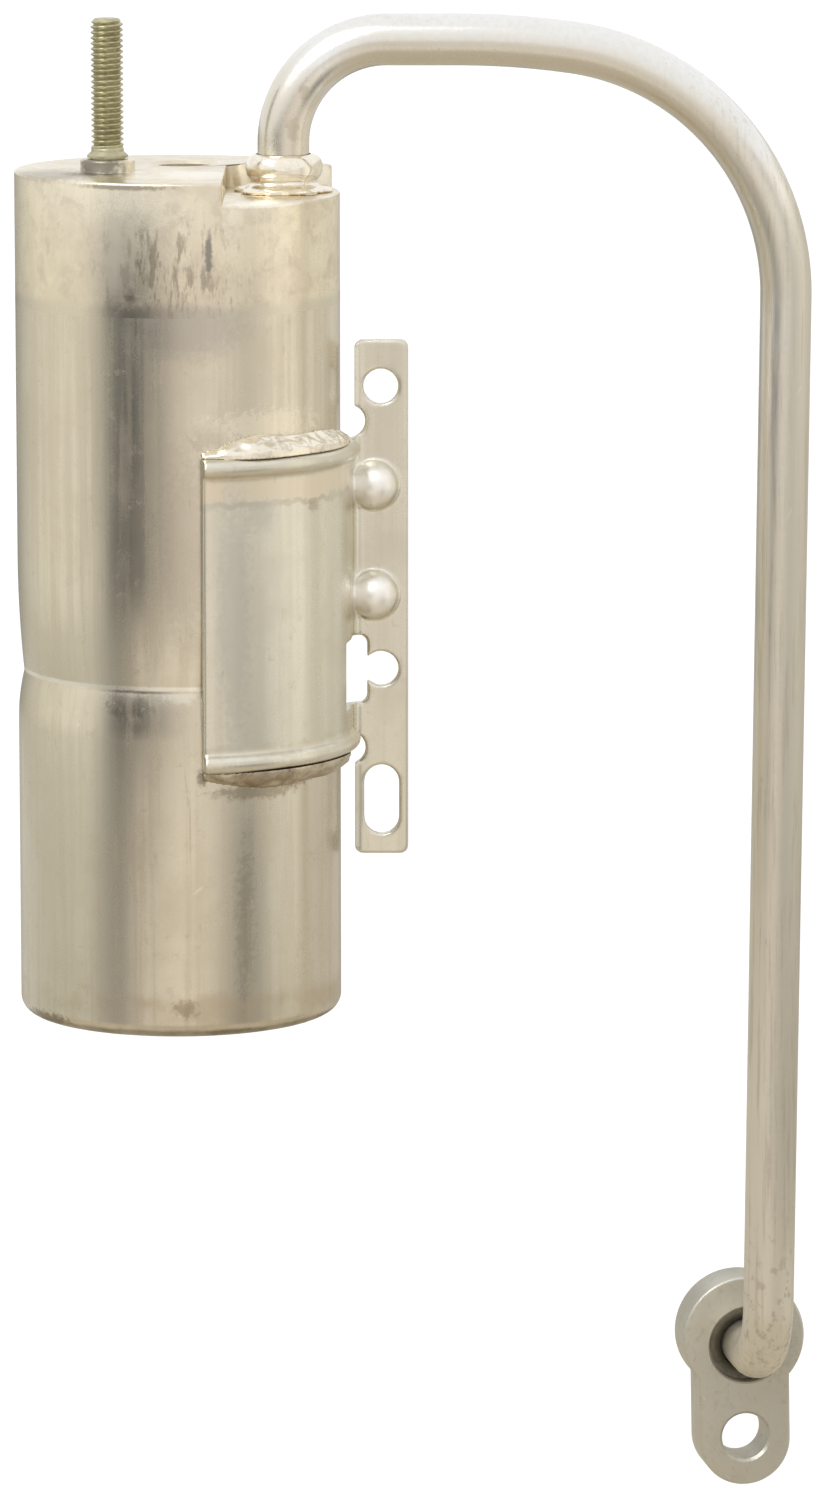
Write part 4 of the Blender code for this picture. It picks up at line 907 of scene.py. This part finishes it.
def seatOnBlock(piece):
    makeActive(piece)
    piece.matrix_world = (Matrix.Translation(blockFace) @ Matrix.Rotation(math.radians(blockSize["yaw"]), 4, "Z")
                          @ Matrix.Rotation(math.radians(blockSize["roll"]), 4, "Y"))
    bpy.ops.object.transform_apply(location=True, rotation=True, scale=True)
    return piece


def turnOutwards(name, profile, steps, closed=False):
    return movePiece(turn(name, profile, steps, closed), rotation=(math.radians(90.0), 0, 0))


blockLook = {
    "base": (0.65, 0.64, 0.58), "roughness": 0.46,
    "tarnish": [
        (90.0, 0.44, 0.68, (0.60, 0.56, 0.47), 0.5, 0.06),
        (600.0, 0.52, 0.70, (0.48, 0.43, 0.34), 0.45, 0.08),
    ],
    # Painted shade in the port's recess and on the face just round it
    "stainsAndPaintedLight": [(tuple(blockFace + Vector((-0.0007, 0.0036, 0.0))), (0.0136, 0.0042, 0.0136), 0.2,
                 (0.14, 0.13, 0.11), 0.85)],
    "scratches": [(0.7, 220.0, 0.6, (0.84, 0.80, 0.72)), (-0.4, 260.0, 0.5, (0.42, 0.38, 0.30))],
    "grainHeight": 0.6, "bumpStrength": 0.35,
}


def makeBlock():
    size = blockSize
    shoulder = math.asin(size["lugRadius"] / size["headRadius"])
    outline = arcPoints((size["sidestep"], size["headRise"]), size["headRadius"],
                        -math.pi / 2 + shoulder, 1.5 * math.pi - shoulder, 72)
    outline += arcPoints((size["sidestep"], -size["lugDrop"]), size["lugRadius"], math.pi, fullTurn, 40)
    block = slab("keyholeBlock", outline, size["thickness"], size["thickness"] / 2)
    applyModifier(block, "BEVEL", width=size["edge"], segments=3, limit_method="ANGLE",
                  angle_limit=math.radians(50.0))
    back = -size["thickness"]
    grooveTop = back - size["ringSeat"] + size["ringHalf"]
    grooveFoot = back - size["ringSeat"] - size["ringHalf"]
    grooveRadius = size["pilotRadius"] - size["ringDepth"]
    pilotEnd = back - size["pilotLength"]
    pilot = turnOutwards("pilot", [
        (0.0, back + 0.002), (size["pilotRadius"], back + 0.002), (size["pilotRadius"], grooveTop),
        (grooveRadius, grooveTop), (grooveRadius, grooveFoot), (size["pilotRadius"], grooveFoot),
        (size["pilotRadius"], pilotEnd + size["edge"]), (size["pilotRadius"] - size["edge"], pilotEnd),
        (0.0, pilotEnd)], 64)
    combine(block, pilot, "UNION")
    lip = 0.0003
    port = turnOutwards("port", [
        (0.0, 0.002), (size["recess"] + lip + 0.002, 0.002), (size["recess"], -lip),
        (size["recess"], -size["recessDepth"]),
        (tubeSize["radius"] + canSize["gap"], -size["recessDepth"]),
        (tubeSize["radius"] + canSize["gap"], -size["recessDepth"] - size["socket"]),
        (size["pilotBore"], -size["recessDepth"] - size["socket"]), (size["pilotBore"], pilotEnd - 0.002),
        (0.0, pilotEnd - 0.002)], 72)
    combine(block, port)
    bolt = turnOutwards("bolt", [
        (0.0, 0.002), (size["boltHole"] + size["edge"] + 0.002, 0.002), (size["boltHole"], -size["edge"]),
        (size["boltHole"], back + size["edge"]), (size["boltHole"] + size["edge"] + 0.002, back - 0.002),
        (0.0, back - 0.002)], 64)
    combine(block, movePiece(bolt, (size["sidestep"], 0.0, -size["boltDrop"])))
    seatOnBlock(block)
    return finishPiece(block, "keyholeBlock", "block_fitting",
                       metalFinish("blockAluminium", blockLook), 30.0)


def makeBraze():
    inner = tubeSize["radius"] + canSize["gap"]
    leg = blockSize["brazeLeg"]
    outer = min(inner + leg, blockSize["recess"] - canSize["gap"])
    foot = -blockSize["recessDepth"] + canSize["gap"]
    section = [(inner, foot), (inner, foot + leg)]
    for i in range(1, 7):
        share = i / 7
        dip = 4 * share * (1 - share) * (0.5 - blockSize["brazeHollow"]) * 1.6
        section.append((inner + (outer - inner) * (share - dip), foot + leg * (1 - share - dip)))
    section.append((outer, foot))
    braze = turnOutwards("blockBraze", section, 72, closed=True)
    seatOnBlock(braze)
    # The braze's dark base is painted shade of the recess it sits in
    look = {
        "base": (0.32, 0.30, 0.26), "roughness": 0.50,
        "tarnish": [(500.0, 0.45, 0.66, (0.20, 0.18, 0.15), 0.6, 0.10)],
    }
    return finishPiece(braze, "blockBraze", "block_braze", metalFinish("brazeInPaintedShade", look), 50.0)


def makeSeal():
    ring = blockSize["pilotRadius"] - blockSize["ringDepth"] + canSize["gap"] + blockSize["ringRadius"]
    away = -blockSize["thickness"] - blockSize["ringSeat"]
    section = [(x, z) for x, z in arcPoints((ring, away), blockSize["ringRadius"], math.pi / 2,
                                            -1.5 * math.pi, 18)][:-1]
    seal = turnOutwards("pilotSeal", section, 64, closed=True)
    seatOnBlock(seal)
    material = bpy.data.materials.new("greenRubber")
    material.use_nodes = True
    tree = material.node_tree
    shader = tree.nodes["Principled BSDF"]
    coords = addNode(tree, "ShaderNodeTexCoord")
    dust = useGroup(tree, tarnishGroup, coords.outputs["Object"], Scale=700.0, Low=0.45, High=0.75)
    feed(tree, tint(tree, (0.015, 0.085, 0.05), dust, (0.08, 0.16, 0.11), 0.6), shader.inputs["Base Color"])
    feed(tree, remap(tree, dust, 0.0, 1.0, 0.42, 0.62), shader.inputs["Roughness"])
    return finishPiece(seal, "pilotSeal", "pilot_o_ring", material, 60.0)


makeBlock()
makeBraze()
makeSeal()


# Bracket: a pressed sheet with saddle, turned lips, window, gussets and slotted strip

bracketSize = {
    "sheet": 0.0020, "start": 9.6, "bottom": 0.0497, "top": 0.1076, "flat": 0.0005, "bend": 0.0020,
    "stripLeft": 0.0326, "stripRight": 0.0426, "stripBottom": 0.0288, "stripTop": 0.1256, "corner": 0.0015,
    "holeX": 0.0375, "holeRadius": 0.00325, "topHole": 0.1169, "middleHole": 0.0639,
    "slotZ": 0.0391, "slotLength": 0.0131,
    "window": (0.0270, 0.0349, -0.0080, 0.0575, 0.0702), "windowCorner": 0.0015,
    "relief": 0.0030, "reliefInset": 0.0010, "topRelief": 0.0028, "bottomRelief": 0.0008,
    "gussetX": 0.0362, "gussetRadius": 0.0045, "punchRadius": 0.0025, "gussets": (0.0779, 0.0985),
    "lipRadius": 0.0017, "lipEnd": 88.0, "clearOfFace": 0.00005, "voxel": 0.00034, "softening": 5,
}
bracketLook = {
    "base": (0.77, 0.74, 0.64), "roughness": 0.26,
    "streakColour": (0.66, 0.62, 0.52), "streakDensity": 360.0, "streakLengthwise": 0.04,
    "streakShare": 0.35, "streakRough": 0.06,
    "tarnish": [
        (60.0, 0.45, 0.68, (0.68, 0.65, 0.55), 0.5, 0.06),
        (450.0, 0.57, 0.72, (0.54, 0.49, 0.39), 0.35, 0.08),
    ],
    "belts": [
        (0.1018, 0.0034, 0.0060, 0.20, (0.84, 0.73, 0.57), 0.65, 0.10),
        (0.0986, 0.0010, 0.0075, 0.60, (0.50, 0.44, 0.34), 0.50, 0.10),
        (0.0535, 0.0012, 0.0060, 0.60, (0.56, 0.49, 0.38), 0.45, 0.08),
    ],
    "beltEnd": 0.0318,
    "stainsAndPaintedLight": [
        # Painted highlights on the two gusset domes
        ((0.0358, -0.0010, 0.0989), (0.0062, 0.0100, 0.0062), 0.10, (1.00, 0.98, 0.94), 1.00),
        ((0.0358, -0.0010, 0.0783), (0.0062, 0.0100, 0.0062), 0.10, (1.00, 0.98, 0.94), 1.00),
        # Painted shade: a darker vertical band down the saddle's face
        ((0.0110, -0.0304, 0.0800), (0.0042, 0.010, 0.0330), 0.50, (0.56, 0.55, 0.51), 0.60),
        ((0.0252, -0.0202, 0.0978), (0.0012, 0.008, 0.0017), 0.9, (0.46, 0.40, 0.31), 0.60),
        ((0.0157, -0.0282, 0.0968), (0.0036, 0.008, 0.0040), 0.9, (0.62, 0.61, 0.56), 0.60),
    ],
    "scratches": [(0.3, 200.0, 0.5, (0.88, 0.85, 0.76)), (-0.2, 230.0, 0.4, (0.50, 0.46, 0.38))],
    "bumpStrength": 0.22,
}


def sheetLine():
    size = bracketSize
    middle = canSize["radius"] + canSize["gap"] + size["sheet"] / 2
    bendMiddle = size["bend"] + size["sheet"] / 2
    start = math.radians(size["start"])
    line = []
    for i in range(61):
        angle = start + (math.pi / 2 - start) * i / 60
        line.append((middle * math.sin(angle), -middle * math.cos(angle)))
    pivot = (middle + bendMiddle, size["flat"])
    for i in range(17):
        angle = math.pi / 2 * i / 16
        line.append((pivot[0] - math.cos(angle) * bendMiddle, pivot[1] + math.sin(angle) * bendMiddle))
    line.append((size["stripRight"] + 0.002, size["flat"] + bendMiddle))
    return line


def blankOutline():
    size = bracketSize
    quarter = math.pi / 2
    corner = size["corner"]
    left = size["stripLeft"] + corner
    right = size["stripRight"] - corner
    low = size["stripBottom"] + corner
    high = size["stripTop"] - corner
    points = [(0.0, size["bottom"]), (size["stripLeft"], size["bottom"])]
    points += arcPoints((left, low), corner, 2 * quarter, 3 * quarter, 8)
    points += arcPoints((right, low), corner, 3 * quarter, 4 * quarter, 8)
    points += arcPoints((right, high), corner, 0.0, quarter, 8)
    points += arcPoints((left, high), corner, quarter, 2 * quarter, 8)
    return points + [(size["stripLeft"], size["top"]), (0.0, size["top"])]


def domeTool(name, radius, back, x, y, z):
    profile = arcPoints((0.0, 0.0), radius, math.pi / 2, 0.0, 12) + [(radius, -back), (0.0, -back)]
    return movePiece(turn(name, profile, 48), (x, y, z), (math.radians(90.0), 0, 0))


def makeBracket():
    size = bracketSize
    stripMiddle = size["flat"] + size["bend"] + size["sheet"] / 2
    stripFront = stripMiddle - size["sheet"] / 2
    low = size["stripBottom"] - 0.002
    high = size["stripTop"] + 0.002
    bracket = drawChain("pressedBracket", [(x, y, low) for x, y in sheetLine()])
    startEdit(bracket, "EDGE")
    bpy.ops.mesh.extrude_region_move(TRANSFORM_OT_translate={"value": (0, 0, high - low)})
    endEdit()
    applyModifier(bracket, "SOLIDIFY", thickness=size["sheet"], offset=0.0, use_even_offset=True)
    tidyMesh(bracket)
    combine(bracket, slab("blank", blankOutline(), 0.10), "INTERSECT")
    left, right, front, bottom, top = size["window"]
    combine(bracket, boxTool("window", (left, front, bottom), (right, stripFront + 0.006, top),
                             size["windowCorner"], 1))

    outer = canSize["radius"] + canSize["gap"] + size["sheet"] - canSize["gap"] / 2
    inset = size["lipRadius"] + size["clearOfFace"]
    for edge in (size["top"] - inset, size["bottom"] + inset):
        section = arcPoints((outer, edge), size["lipRadius"], 0.1, fullTurn + 0.1, 20)[:-1]
        combine(bracket, sweepRound("lip", section, math.radians(size["start"] + 0.15),
                                    math.radians(size["lipEnd"]), 47), "UNION")
    # Domes stand a hair proud of the strip's face, so that no edge of theirs lies in it
    domeFace = stripFront - size["clearOfFace"]
    for height in size["gussets"]:
        combine(bracket, domeTool("bump", size["gussetRadius"], size["sheet"] / 2, size["gussetX"],
                                  domeFace, height), "UNION")
    for height in size["gussets"]:
        combine(bracket, domeTool("punch", size["punchRadius"], size["sheet"] + 0.002, size["gussetX"],
                                  domeFace, height))

    slotHalf = size["slotLength"] / 2 - size["holeRadius"]
    middle = (size["stripLeft"] + size["stripRight"]) / 2
    slot = arcPoints((middle, size["slotZ"] + slotHalf), size["holeRadius"], 0.0, math.pi, 24)
    slot += arcPoints((middle, size["slotZ"] - slotHalf), size["holeRadius"], math.pi, fullTurn, 24)
    reliefX = size["stripLeft"] - size["reliefInset"]
    openings = [slot]
    for x, z, radius in ((size["holeX"], size["topHole"], size["holeRadius"]),
                         (size["holeX"], size["middleHole"], size["holeRadius"]),
                         (reliefX, size["top"] + size["topRelief"], size["relief"]),
                         (reliefX, size["bottom"] - size["bottomRelief"], size["relief"])):
        openings.append(arcPoints((x, z), radius, 0.0, fullTurn, 48)[:-1])
    for outline in openings:
        combine(bracket, slab("opening", outline, 0.012, stripMiddle))
    applyModifier(bracket, "REMESH", mode="VOXEL", voxel_size=size["voxel"], adaptivity=0.0)
    applyModifier(bracket, "SMOOTH", factor=0.5, iterations=size["softening"])
    return finishPiece(bracket, "pressedBracket", "bracket",
                       metalFinish("sheetAluminium", bracketLook), 60.0)


makeBracket()


# Fillet welds along the saddle's two lips

filletSize = {
    "leg": 0.0033, "rise": 0.0034, "lump": 0.00048, "endShare": 0.45,
    "section": ((0.0, 0.0), (0.65, 0.0), (0.84, -0.03), (1.0, -0.10), (0.92, 0.28), (0.56, 0.62), (0.0, 1.0)),
    "clear": 0.00006, "voxel": 0.00028,
}


# The lower weld's finish: a darker, browner copy of the upper weld's
lowerWeldLook = {
    "base": (0.62, 0.56, 0.45), "roughness": 0.34,
    "tarnish": [
        (200.0, 0.42, 0.62, (0.36, 0.29, 0.20), 0.75, 0.10),
        (620.0, 0.55, 0.68, (0.20, 0.16, 0.11), 0.60, 0.10),
    ],
    "bumpStrength": 0.35, "bumpDistance": 0.0001,
}


def makeFillet(name, node, edge, direction, seed, material):
    size = filletSize
    rng = random.Random(seed)
    root = canSize["radius"] + size["clear"]
    seat = edge + direction * size["clear"]
    waves = [(rng.uniform(0.3, 1.0), rng.randint(5, 15), rng.uniform(0.0, fullTurn)) for _ in range(4)]
    start = math.radians(bracketSize["start"])
    end = math.radians(bracketSize["lipEnd"])
    section = [(root + size["leg"] * out, seat + direction * size["rise"] * up) for out, up in size["section"]]
    weld = sweepRound(name, section, start, end, 110)
    for vertex in weld.data.vertices:
        angle = math.atan2(vertex.co.x, -vertex.co.y)
        share = (angle - start) / (end - start)
        lump = size["lump"] * sum(a * math.sin(n * share + p) for a, n, p in waves) / 2
        fromEnd = min(1.0, 4.0 * min(share, 1.0 - share))
        fade = size["endShare"] + (1.0 - size["endShare"]) * math.sin(math.pi / 2 * max(0.0, fromEnd))
        reach = math.hypot(vertex.co.x, vertex.co.y)
        out = (reach - root) / size["leg"]
        up = (vertex.co.z - seat) * direction / size["rise"]
        newReach = root + (size["leg"] + lump) * fade * out
        vertex.co.z = seat + direction * (size["rise"] + 2 * lump) * fade * up
        vertex.co.x *= newReach / reach
        vertex.co.y *= newReach / reach
    applyModifier(weld, "REMESH", mode="VOXEL", voxel_size=size["voxel"], adaptivity=0.0)
    # Ripples of the travelling pool and small random lumps, strongest away from the seats
    for vertex in weld.data.vertices:
        angle = math.atan2(vertex.co.x, -vertex.co.y)
        reach = math.hypot(vertex.co.x, vertex.co.y)
        height = (vertex.co.z - seat) * direction
        free = min(1.0, max(0.0, (reach - root) / 0.0012)) * min(1.0, max(0.0, height / 0.0010))
        bow = angle * 24.0 + 1.6 * noise.noise(vertex.co * 90.0)
        push = free * (0.00003 * math.sin(bow * fullTurn / 2.2) + 0.00034 * noise.noise(vertex.co * 230.0)
                       + 0.00030 * noise.noise(vertex.co * 520.0))
        vertex.co.x *= 1 + push / reach
        vertex.co.y *= 1 + push / reach
        vertex.co.z += direction * push * 0.8
    applyModifier(weld, "SMOOTH", factor=0.5, iterations=3)
    return finishPiece(weld, name, node, material, 80.0)


makeFillet("saddleWeldTop", "bracket_weld_top", bracketSize["top"], 1.0, 11, weldMetal)
makeFillet("saddleWeldBottom", "bracket_weld_bottom", bracketSize["bottom"], -1.0, 12,
           metalFinish("darkerLowerWeld", lowerWeldLook))


# The hidden pack and pickup keep their solids and get their own finishes

def plainFinish(name, base, other, scale, roughness, metallic, bumpDistance):
    material = bpy.data.materials.new(name)
    material.use_nodes = True
    tree = material.node_tree
    shader = tree.nodes["Principled BSDF"]
    shader.inputs["Metallic"].default_value = metallic
    coords = addNode(tree, "ShaderNodeTexCoord")
    mask = useGroup(tree, tarnishGroup, coords.outputs["Object"], Scale=scale, Low=0.4, High=0.68)
    feed(tree, tint(tree, base, mask, other), shader.inputs["Base Color"])
    feed(tree, remap(tree, mask, 0.0, 1.0, roughness, min(1.0, roughness + 0.12)), shader.inputs["Roughness"])
    bump = addNode(tree, "ShaderNodeBump")
    bump.inputs["Strength"].default_value = 0.5
    bump.inputs["Distance"].default_value = bumpDistance
    tree.links.new(mask, bump.inputs["Height"])
    tree.links.new(bump.outputs["Normal"], shader.inputs["Normal"])
    return material


def beadFinish():
    material = bpy.data.materials.new("desiccantBeads")
    material.use_nodes = True
    tree = material.node_tree
    shader = tree.nodes["Principled BSDF"]
    coords = addNode(tree, "ShaderNodeTexCoord")
    beads = addNode(tree, "ShaderNodeTexVoronoi", feature="F1")
    beads.inputs["Scale"].default_value = 520.0
    tree.links.new(coords.outputs["Object"], beads.inputs["Vector"])
    gaps = remap(tree, beads.outputs["Distance"], 0.35, 0.62)
    feed(tree, tint(tree, (0.78, 0.72, 0.61), gaps, (0.34, 0.29, 0.22)), shader.inputs["Base Color"])
    shader.inputs["Roughness"].default_value = 0.85
    bump = addNode(tree, "ShaderNodeBump")
    bump.inputs["Distance"].default_value = 0.0008
    feed(tree, sums(tree, "SUBTRACT", 1.0, beads.outputs["Distance"]), bump.inputs["Height"])
    tree.links.new(bump.outputs["Normal"], shader.inputs["Normal"])
    return material


def dressInside():
    zinc = plainFinish("plateZinc", (0.55, 0.53, 0.44), (0.42, 0.40, 0.32), 160.0, 0.34, 1.0, 0.00004)
    felt = plainFinish("whiteFelt", (0.82, 0.80, 0.74), (0.66, 0.63, 0.56), 900.0, 0.88, 0.0, 0.0003)
    plastic = plainFinish("strainerPlastic", (0.82, 0.82, 0.79), (0.74, 0.73, 0.69), 220.0, 0.45, 0.0, 0.00003)
    tube = plainFinish("pickupAluminium", (0.76, 0.73, 0.65), (0.62, 0.58, 0.50), 300.0, 0.30, 1.0, 0.00004)
    finishes = {
        "pickup_tube": tube, "pickup_strainer": plastic, "lower_plate": zinc, "upper_plate": zinc,
        "pack_spring": zinc, "lower_filter_pad": felt, "upper_filter_pad": felt, "desiccant_bed": beadFinish(),
    }
    for name, material in finishes.items():
        inside = nodes[name]
        if not inside.material_slots:
            inside.data.materials.append(material)
        for holder in inside.material_slots:
            holder.material = material
    print("inner pieces dressed")


dressInside()


# Studio

studio = {
    "floorZ": -0.262, "floorSize": 60.0, "floorColour": 0.82, "floorGlow": 0.42,
    "drumRadius": 0.36, "drumTop": 0.070, "topRise": 0.30, "wallGlow": 1.08, "matColour": (0.62, 0.55, 0.44), "worldLevel": 0.45,
    "sunEnergy": 1.6, "sunAngle": 40.0, "sunTurn": (40.0, -28.0),
    "softboxGlow": 4.6, "softboxSize": 0.85, "softboxPlace": (-0.60, -0.70, 1.00),
    "wallSplit": -0.088, "wallBlend": 0.006,
    # What the tent's wall shows, by degrees round the can from straight ahead of it, left below zero
    "upperWall": [
        (-180, (0.76, 0.74, 0.68)), (-168, (0.26, 0.25, 0.23)), (-152, (0.34, 0.33, 0.30)),
        (-137, (0.54, 0.53, 0.47)), (-112, (0.76, 0.73, 0.65)), (-92, (0.84, 0.81, 0.72)),
        (-68, (0.86, 0.83, 0.75)), (-56, (0.68, 0.65, 0.58)), (-44, (0.15, 0.15, 0.15)),
        (-30, (0.09, 0.09, 0.09)), (-18, (0.25, 0.24, 0.22)), (-6, (0.50, 0.46, 0.42)),
        (4, (0.75, 0.70, 0.64)), (26, (0.88, 0.82, 0.76)), (38, (0.80, 0.77, 0.71)),
        (50, (0.64, 0.62, 0.57)), (64, (0.88, 0.83, 0.76)), (84, (1.00, 0.95, 0.85)),
        (98, (0.86, 0.81, 0.72)), (118, (0.72, 0.69, 0.61)), (150, (0.68, 0.65, 0.58)),
        (166, (0.40, 0.38, 0.35)),
    ],
    "lowerWall": [
        (-180, (0.72, 0.70, 0.64)), (-168, (0.36, 0.35, 0.32)), (-150, (0.60, 0.59, 0.54)),
        (-130, (0.62, 0.60, 0.54)), (-104, (0.57, 0.55, 0.48)), (-66, (0.62, 0.60, 0.53)),
        (-52, (0.42, 0.40, 0.36)), (-40, (0.30, 0.29, 0.26)), (-28, (0.66, 0.60, 0.53)),
        (-8, (0.76, 0.70, 0.61)), (8, (0.88, 0.81, 0.71)), (26, (0.68, 0.63, 0.55)),
        (40, (0.38, 0.36, 0.32)), (52, (0.26, 0.25, 0.22)), (66, (0.64, 0.62, 0.56)),
        (84, (0.76, 0.73, 0.65)), (110, (0.60, 0.56, 0.49)), (150, (0.58, 0.54, 0.48)),
        (166, (0.34, 0.33, 0.30)),
    ],
}


def seenRays(tree):
    path = addNode(tree, "ShaderNodeLightPath")
    seen = sums(tree, "MAXIMUM", path.outputs["Is Camera Ray"], path.outputs["Is Glossy Ray"])
    return sums(tree, "MAXIMUM", seen, path.outputs["Is Transmission Ray"])


def makeFloor():
    clearSelection()
    bpy.ops.mesh.primitive_plane_add(size=studio["floorSize"], location=(0, 0, studio["floorZ"]))
    floor = bpy.context.object
    floor.name = "floor"
    material = bpy.data.materials.new("paleFloor")
    material.use_nodes = True
    tree = material.node_tree
    shader = tree.nodes["Principled BSDF"]
    level = studio["floorColour"]
    shader.inputs["Base Color"].default_value = (level, level, level, 1.0)
    shader.inputs["Roughness"].default_value = 0.9
    shader.inputs["Specular IOR Level"].default_value = 0.0
    shader.inputs["Emission Color"].default_value = (1.0, 1.0, 1.0, 1.0)
    feed(tree, sums(tree, "MULTIPLY", seenRays(tree), studio["floorGlow"]), shader.inputs["Emission Strength"])
    floor.data.materials.append(material)


def hideFromAllButMetal(piece):
    for ray in ("visible_camera", "visible_diffuse", "visible_shadow", "visible_transmission",
                "visible_volume_scatter"):
        setattr(piece, ray, False)


# A material that only glows
def glowFinish(name, strength):
    material = bpy.data.materials.new(name)
    material.use_nodes = True
    tree = material.node_tree
    tree.nodes.remove(tree.nodes["Principled BSDF"])
    glow = addNode(tree, "ShaderNodeEmission")
    glow.inputs["Strength"].default_value = strength
    tree.links.new(glow.outputs[0], tree.nodes["Material Output"].inputs["Surface"])
    return material, tree, glow


def wallRamp(tree, place, wallStops):
    ramp = addNode(tree, "ShaderNodeValToRGB")
    stops = ramp.color_ramp.elements
    for stop, position in zip(stops, (0.0, 1.0)):
        stop.position = position
        stop.color = (*wallStops[0][1], 1.0)
    for degrees, colour in wallStops[1:]:
        stops.new((degrees + 180) / 360).color = (*colour, 1.0)
    tree.links.new(place, ramp.inputs["Fac"])
    return ramp.outputs["Color"]


# The tent's wall: a low drum round the set that only metal sees, and its warm mat
def makeTentWall():
    low = studio["floorZ"] + 0.0005
    middle = (studio["drumTop"] + low) / 2
    clearSelection()
    bpy.ops.mesh.primitive_cylinder_add(vertices=96, radius=studio["drumRadius"], depth=studio["drumTop"] - low,
                                        end_fill_type="NOTHING", location=(canFoot.x, canFoot.y, middle))
    wall = bpy.context.object
    wall.name = "tentWall"
    # The top climbs to the right, where only the tube's outer bend sees it
    for vertex in wall.data.vertices:
        if vertex.co.z > 0:
            vertex.co.z += studio["topRise"] * max(0.0, vertex.co.x)
    hideFromAllButMetal(wall)
    material, tree, glow = glowFinish("tentCloth", studio["wallGlow"])
    coords = addNode(tree, "ShaderNodeTexCoord")
    parts = addNode(tree, "ShaderNodeSeparateXYZ")
    tree.links.new(coords.outputs["Object"], parts.inputs[0])
    ahead = sums(tree, "MULTIPLY", parts.outputs[1], -1.0)
    angle = sums(tree, "ARCTAN2", parts.outputs[0], ahead)
    place = sums(tree, "ADD", sums(tree, "DIVIDE", angle, fullTurn), 0.5)
    split = studio["wallSplit"] - middle
    blend = addNode(tree, "ShaderNodeMix", data_type="RGBA")
    feed(tree, remap(tree, parts.outputs[2], split - studio["wallBlend"], split + studio["wallBlend"]),
         blend.inputs["Factor"])
    feed(tree, wallRamp(tree, place, studio["lowerWall"]), blend.inputs["A"])
    feed(tree, wallRamp(tree, place, studio["upperWall"]), blend.inputs["B"])
    feed(tree, blend.outputs["Result"], glow.inputs["Color"])
    wall.data.materials.append(material)

    clearSelection()
    bpy.ops.mesh.primitive_circle_add(vertices=96, radius=studio["drumRadius"], fill_type="NGON",
                                      location=(canFoot.x, canFoot.y, low))
    mat = bpy.context.object
    mat.name = "tentMat"
    hideFromAllButMetal(mat)
    material, tree, glow = glowFinish("matCloth", 1.0)
    feed(tree, (*studio["matColour"], 1.0), glow.inputs["Color"])
    mat.data.materials.append(material)


# A softbox that only metal sees, up at the front left, where the photograph's highlights come from
def makeSoftbox():
    clearSelection()
    place = Vector(studio["softboxPlace"])
    bpy.ops.mesh.primitive_plane_add(size=studio["softboxSize"], location=place,
                                     rotation=place.to_track_quat("Z", "Y").to_euler())
    box = bpy.context.object
    box.name = "softbox"
    hideFromAllButMetal(box)
    box.data.materials.append(glowFinish("softboxCloth", studio["softboxGlow"])[0])


def makeWorld():
    world = bpy.data.worlds.new("studioWorld")
    bpy.context.scene.world = world
    world.use_nodes = True
    tree = world.node_tree
    room = tree.nodes["Background"]
    room.inputs["Color"].default_value = (1.0, 1.0, 1.0, 1.0)
    room.inputs["Strength"].default_value = studio["worldLevel"]
    seen = addNode(tree, "ShaderNodeBackground")
    seen.inputs["Strength"].default_value = 1.0
    seen.inputs["Color"].default_value = (1.0, 1.0, 1.0, 1.0)
    blend = addNode(tree, "ShaderNodeMixShader")
    tree.links.new(seenRays(tree), blend.inputs[0])
    tree.links.new(room.outputs[0], blend.inputs[1])
    tree.links.new(seen.outputs[0], blend.inputs[2])
    tree.links.new(blend.outputs[0], tree.nodes["World Output"].inputs["Surface"])


def makeLamp():
    lamp = bpy.data.lights.new("softSun", "SUN")
    lamp.energy = studio["sunEnergy"]
    lamp.angle = math.radians(studio["sunAngle"])
    holder = bpy.data.objects.new("softSun", lamp)
    tilt, spin = studio["sunTurn"]
    holder.rotation_euler = (math.radians(tilt), 0.0, math.radians(spin))
    holder.visible_glossy = False
    bpy.context.scene.collection.objects.link(holder)


def makeCamera():
    view = bpy.data.cameras.new("view")
    view.sensor_fit = "VERTICAL"
    view.sensor_height = 36.0
    view.lens = 177.6
    view.clip_start = 0.05
    view.clip_end = 100.0
    holder = bpy.data.objects.new("view", view)
    holder.location = (0.00588, -1.3664, 0.19078)
    holder.rotation_euler = (math.radians(80.321), 0.0, 0.0)
    bpy.context.scene.collection.objects.link(holder)
    bpy.context.scene.camera = holder


makeFloor()
makeTentWall()
makeSoftbox()
makeWorld()
makeLamp()
makeCamera()
bpy.context.scene.view_settings.view_transform = "Standard"
print("studio ready")
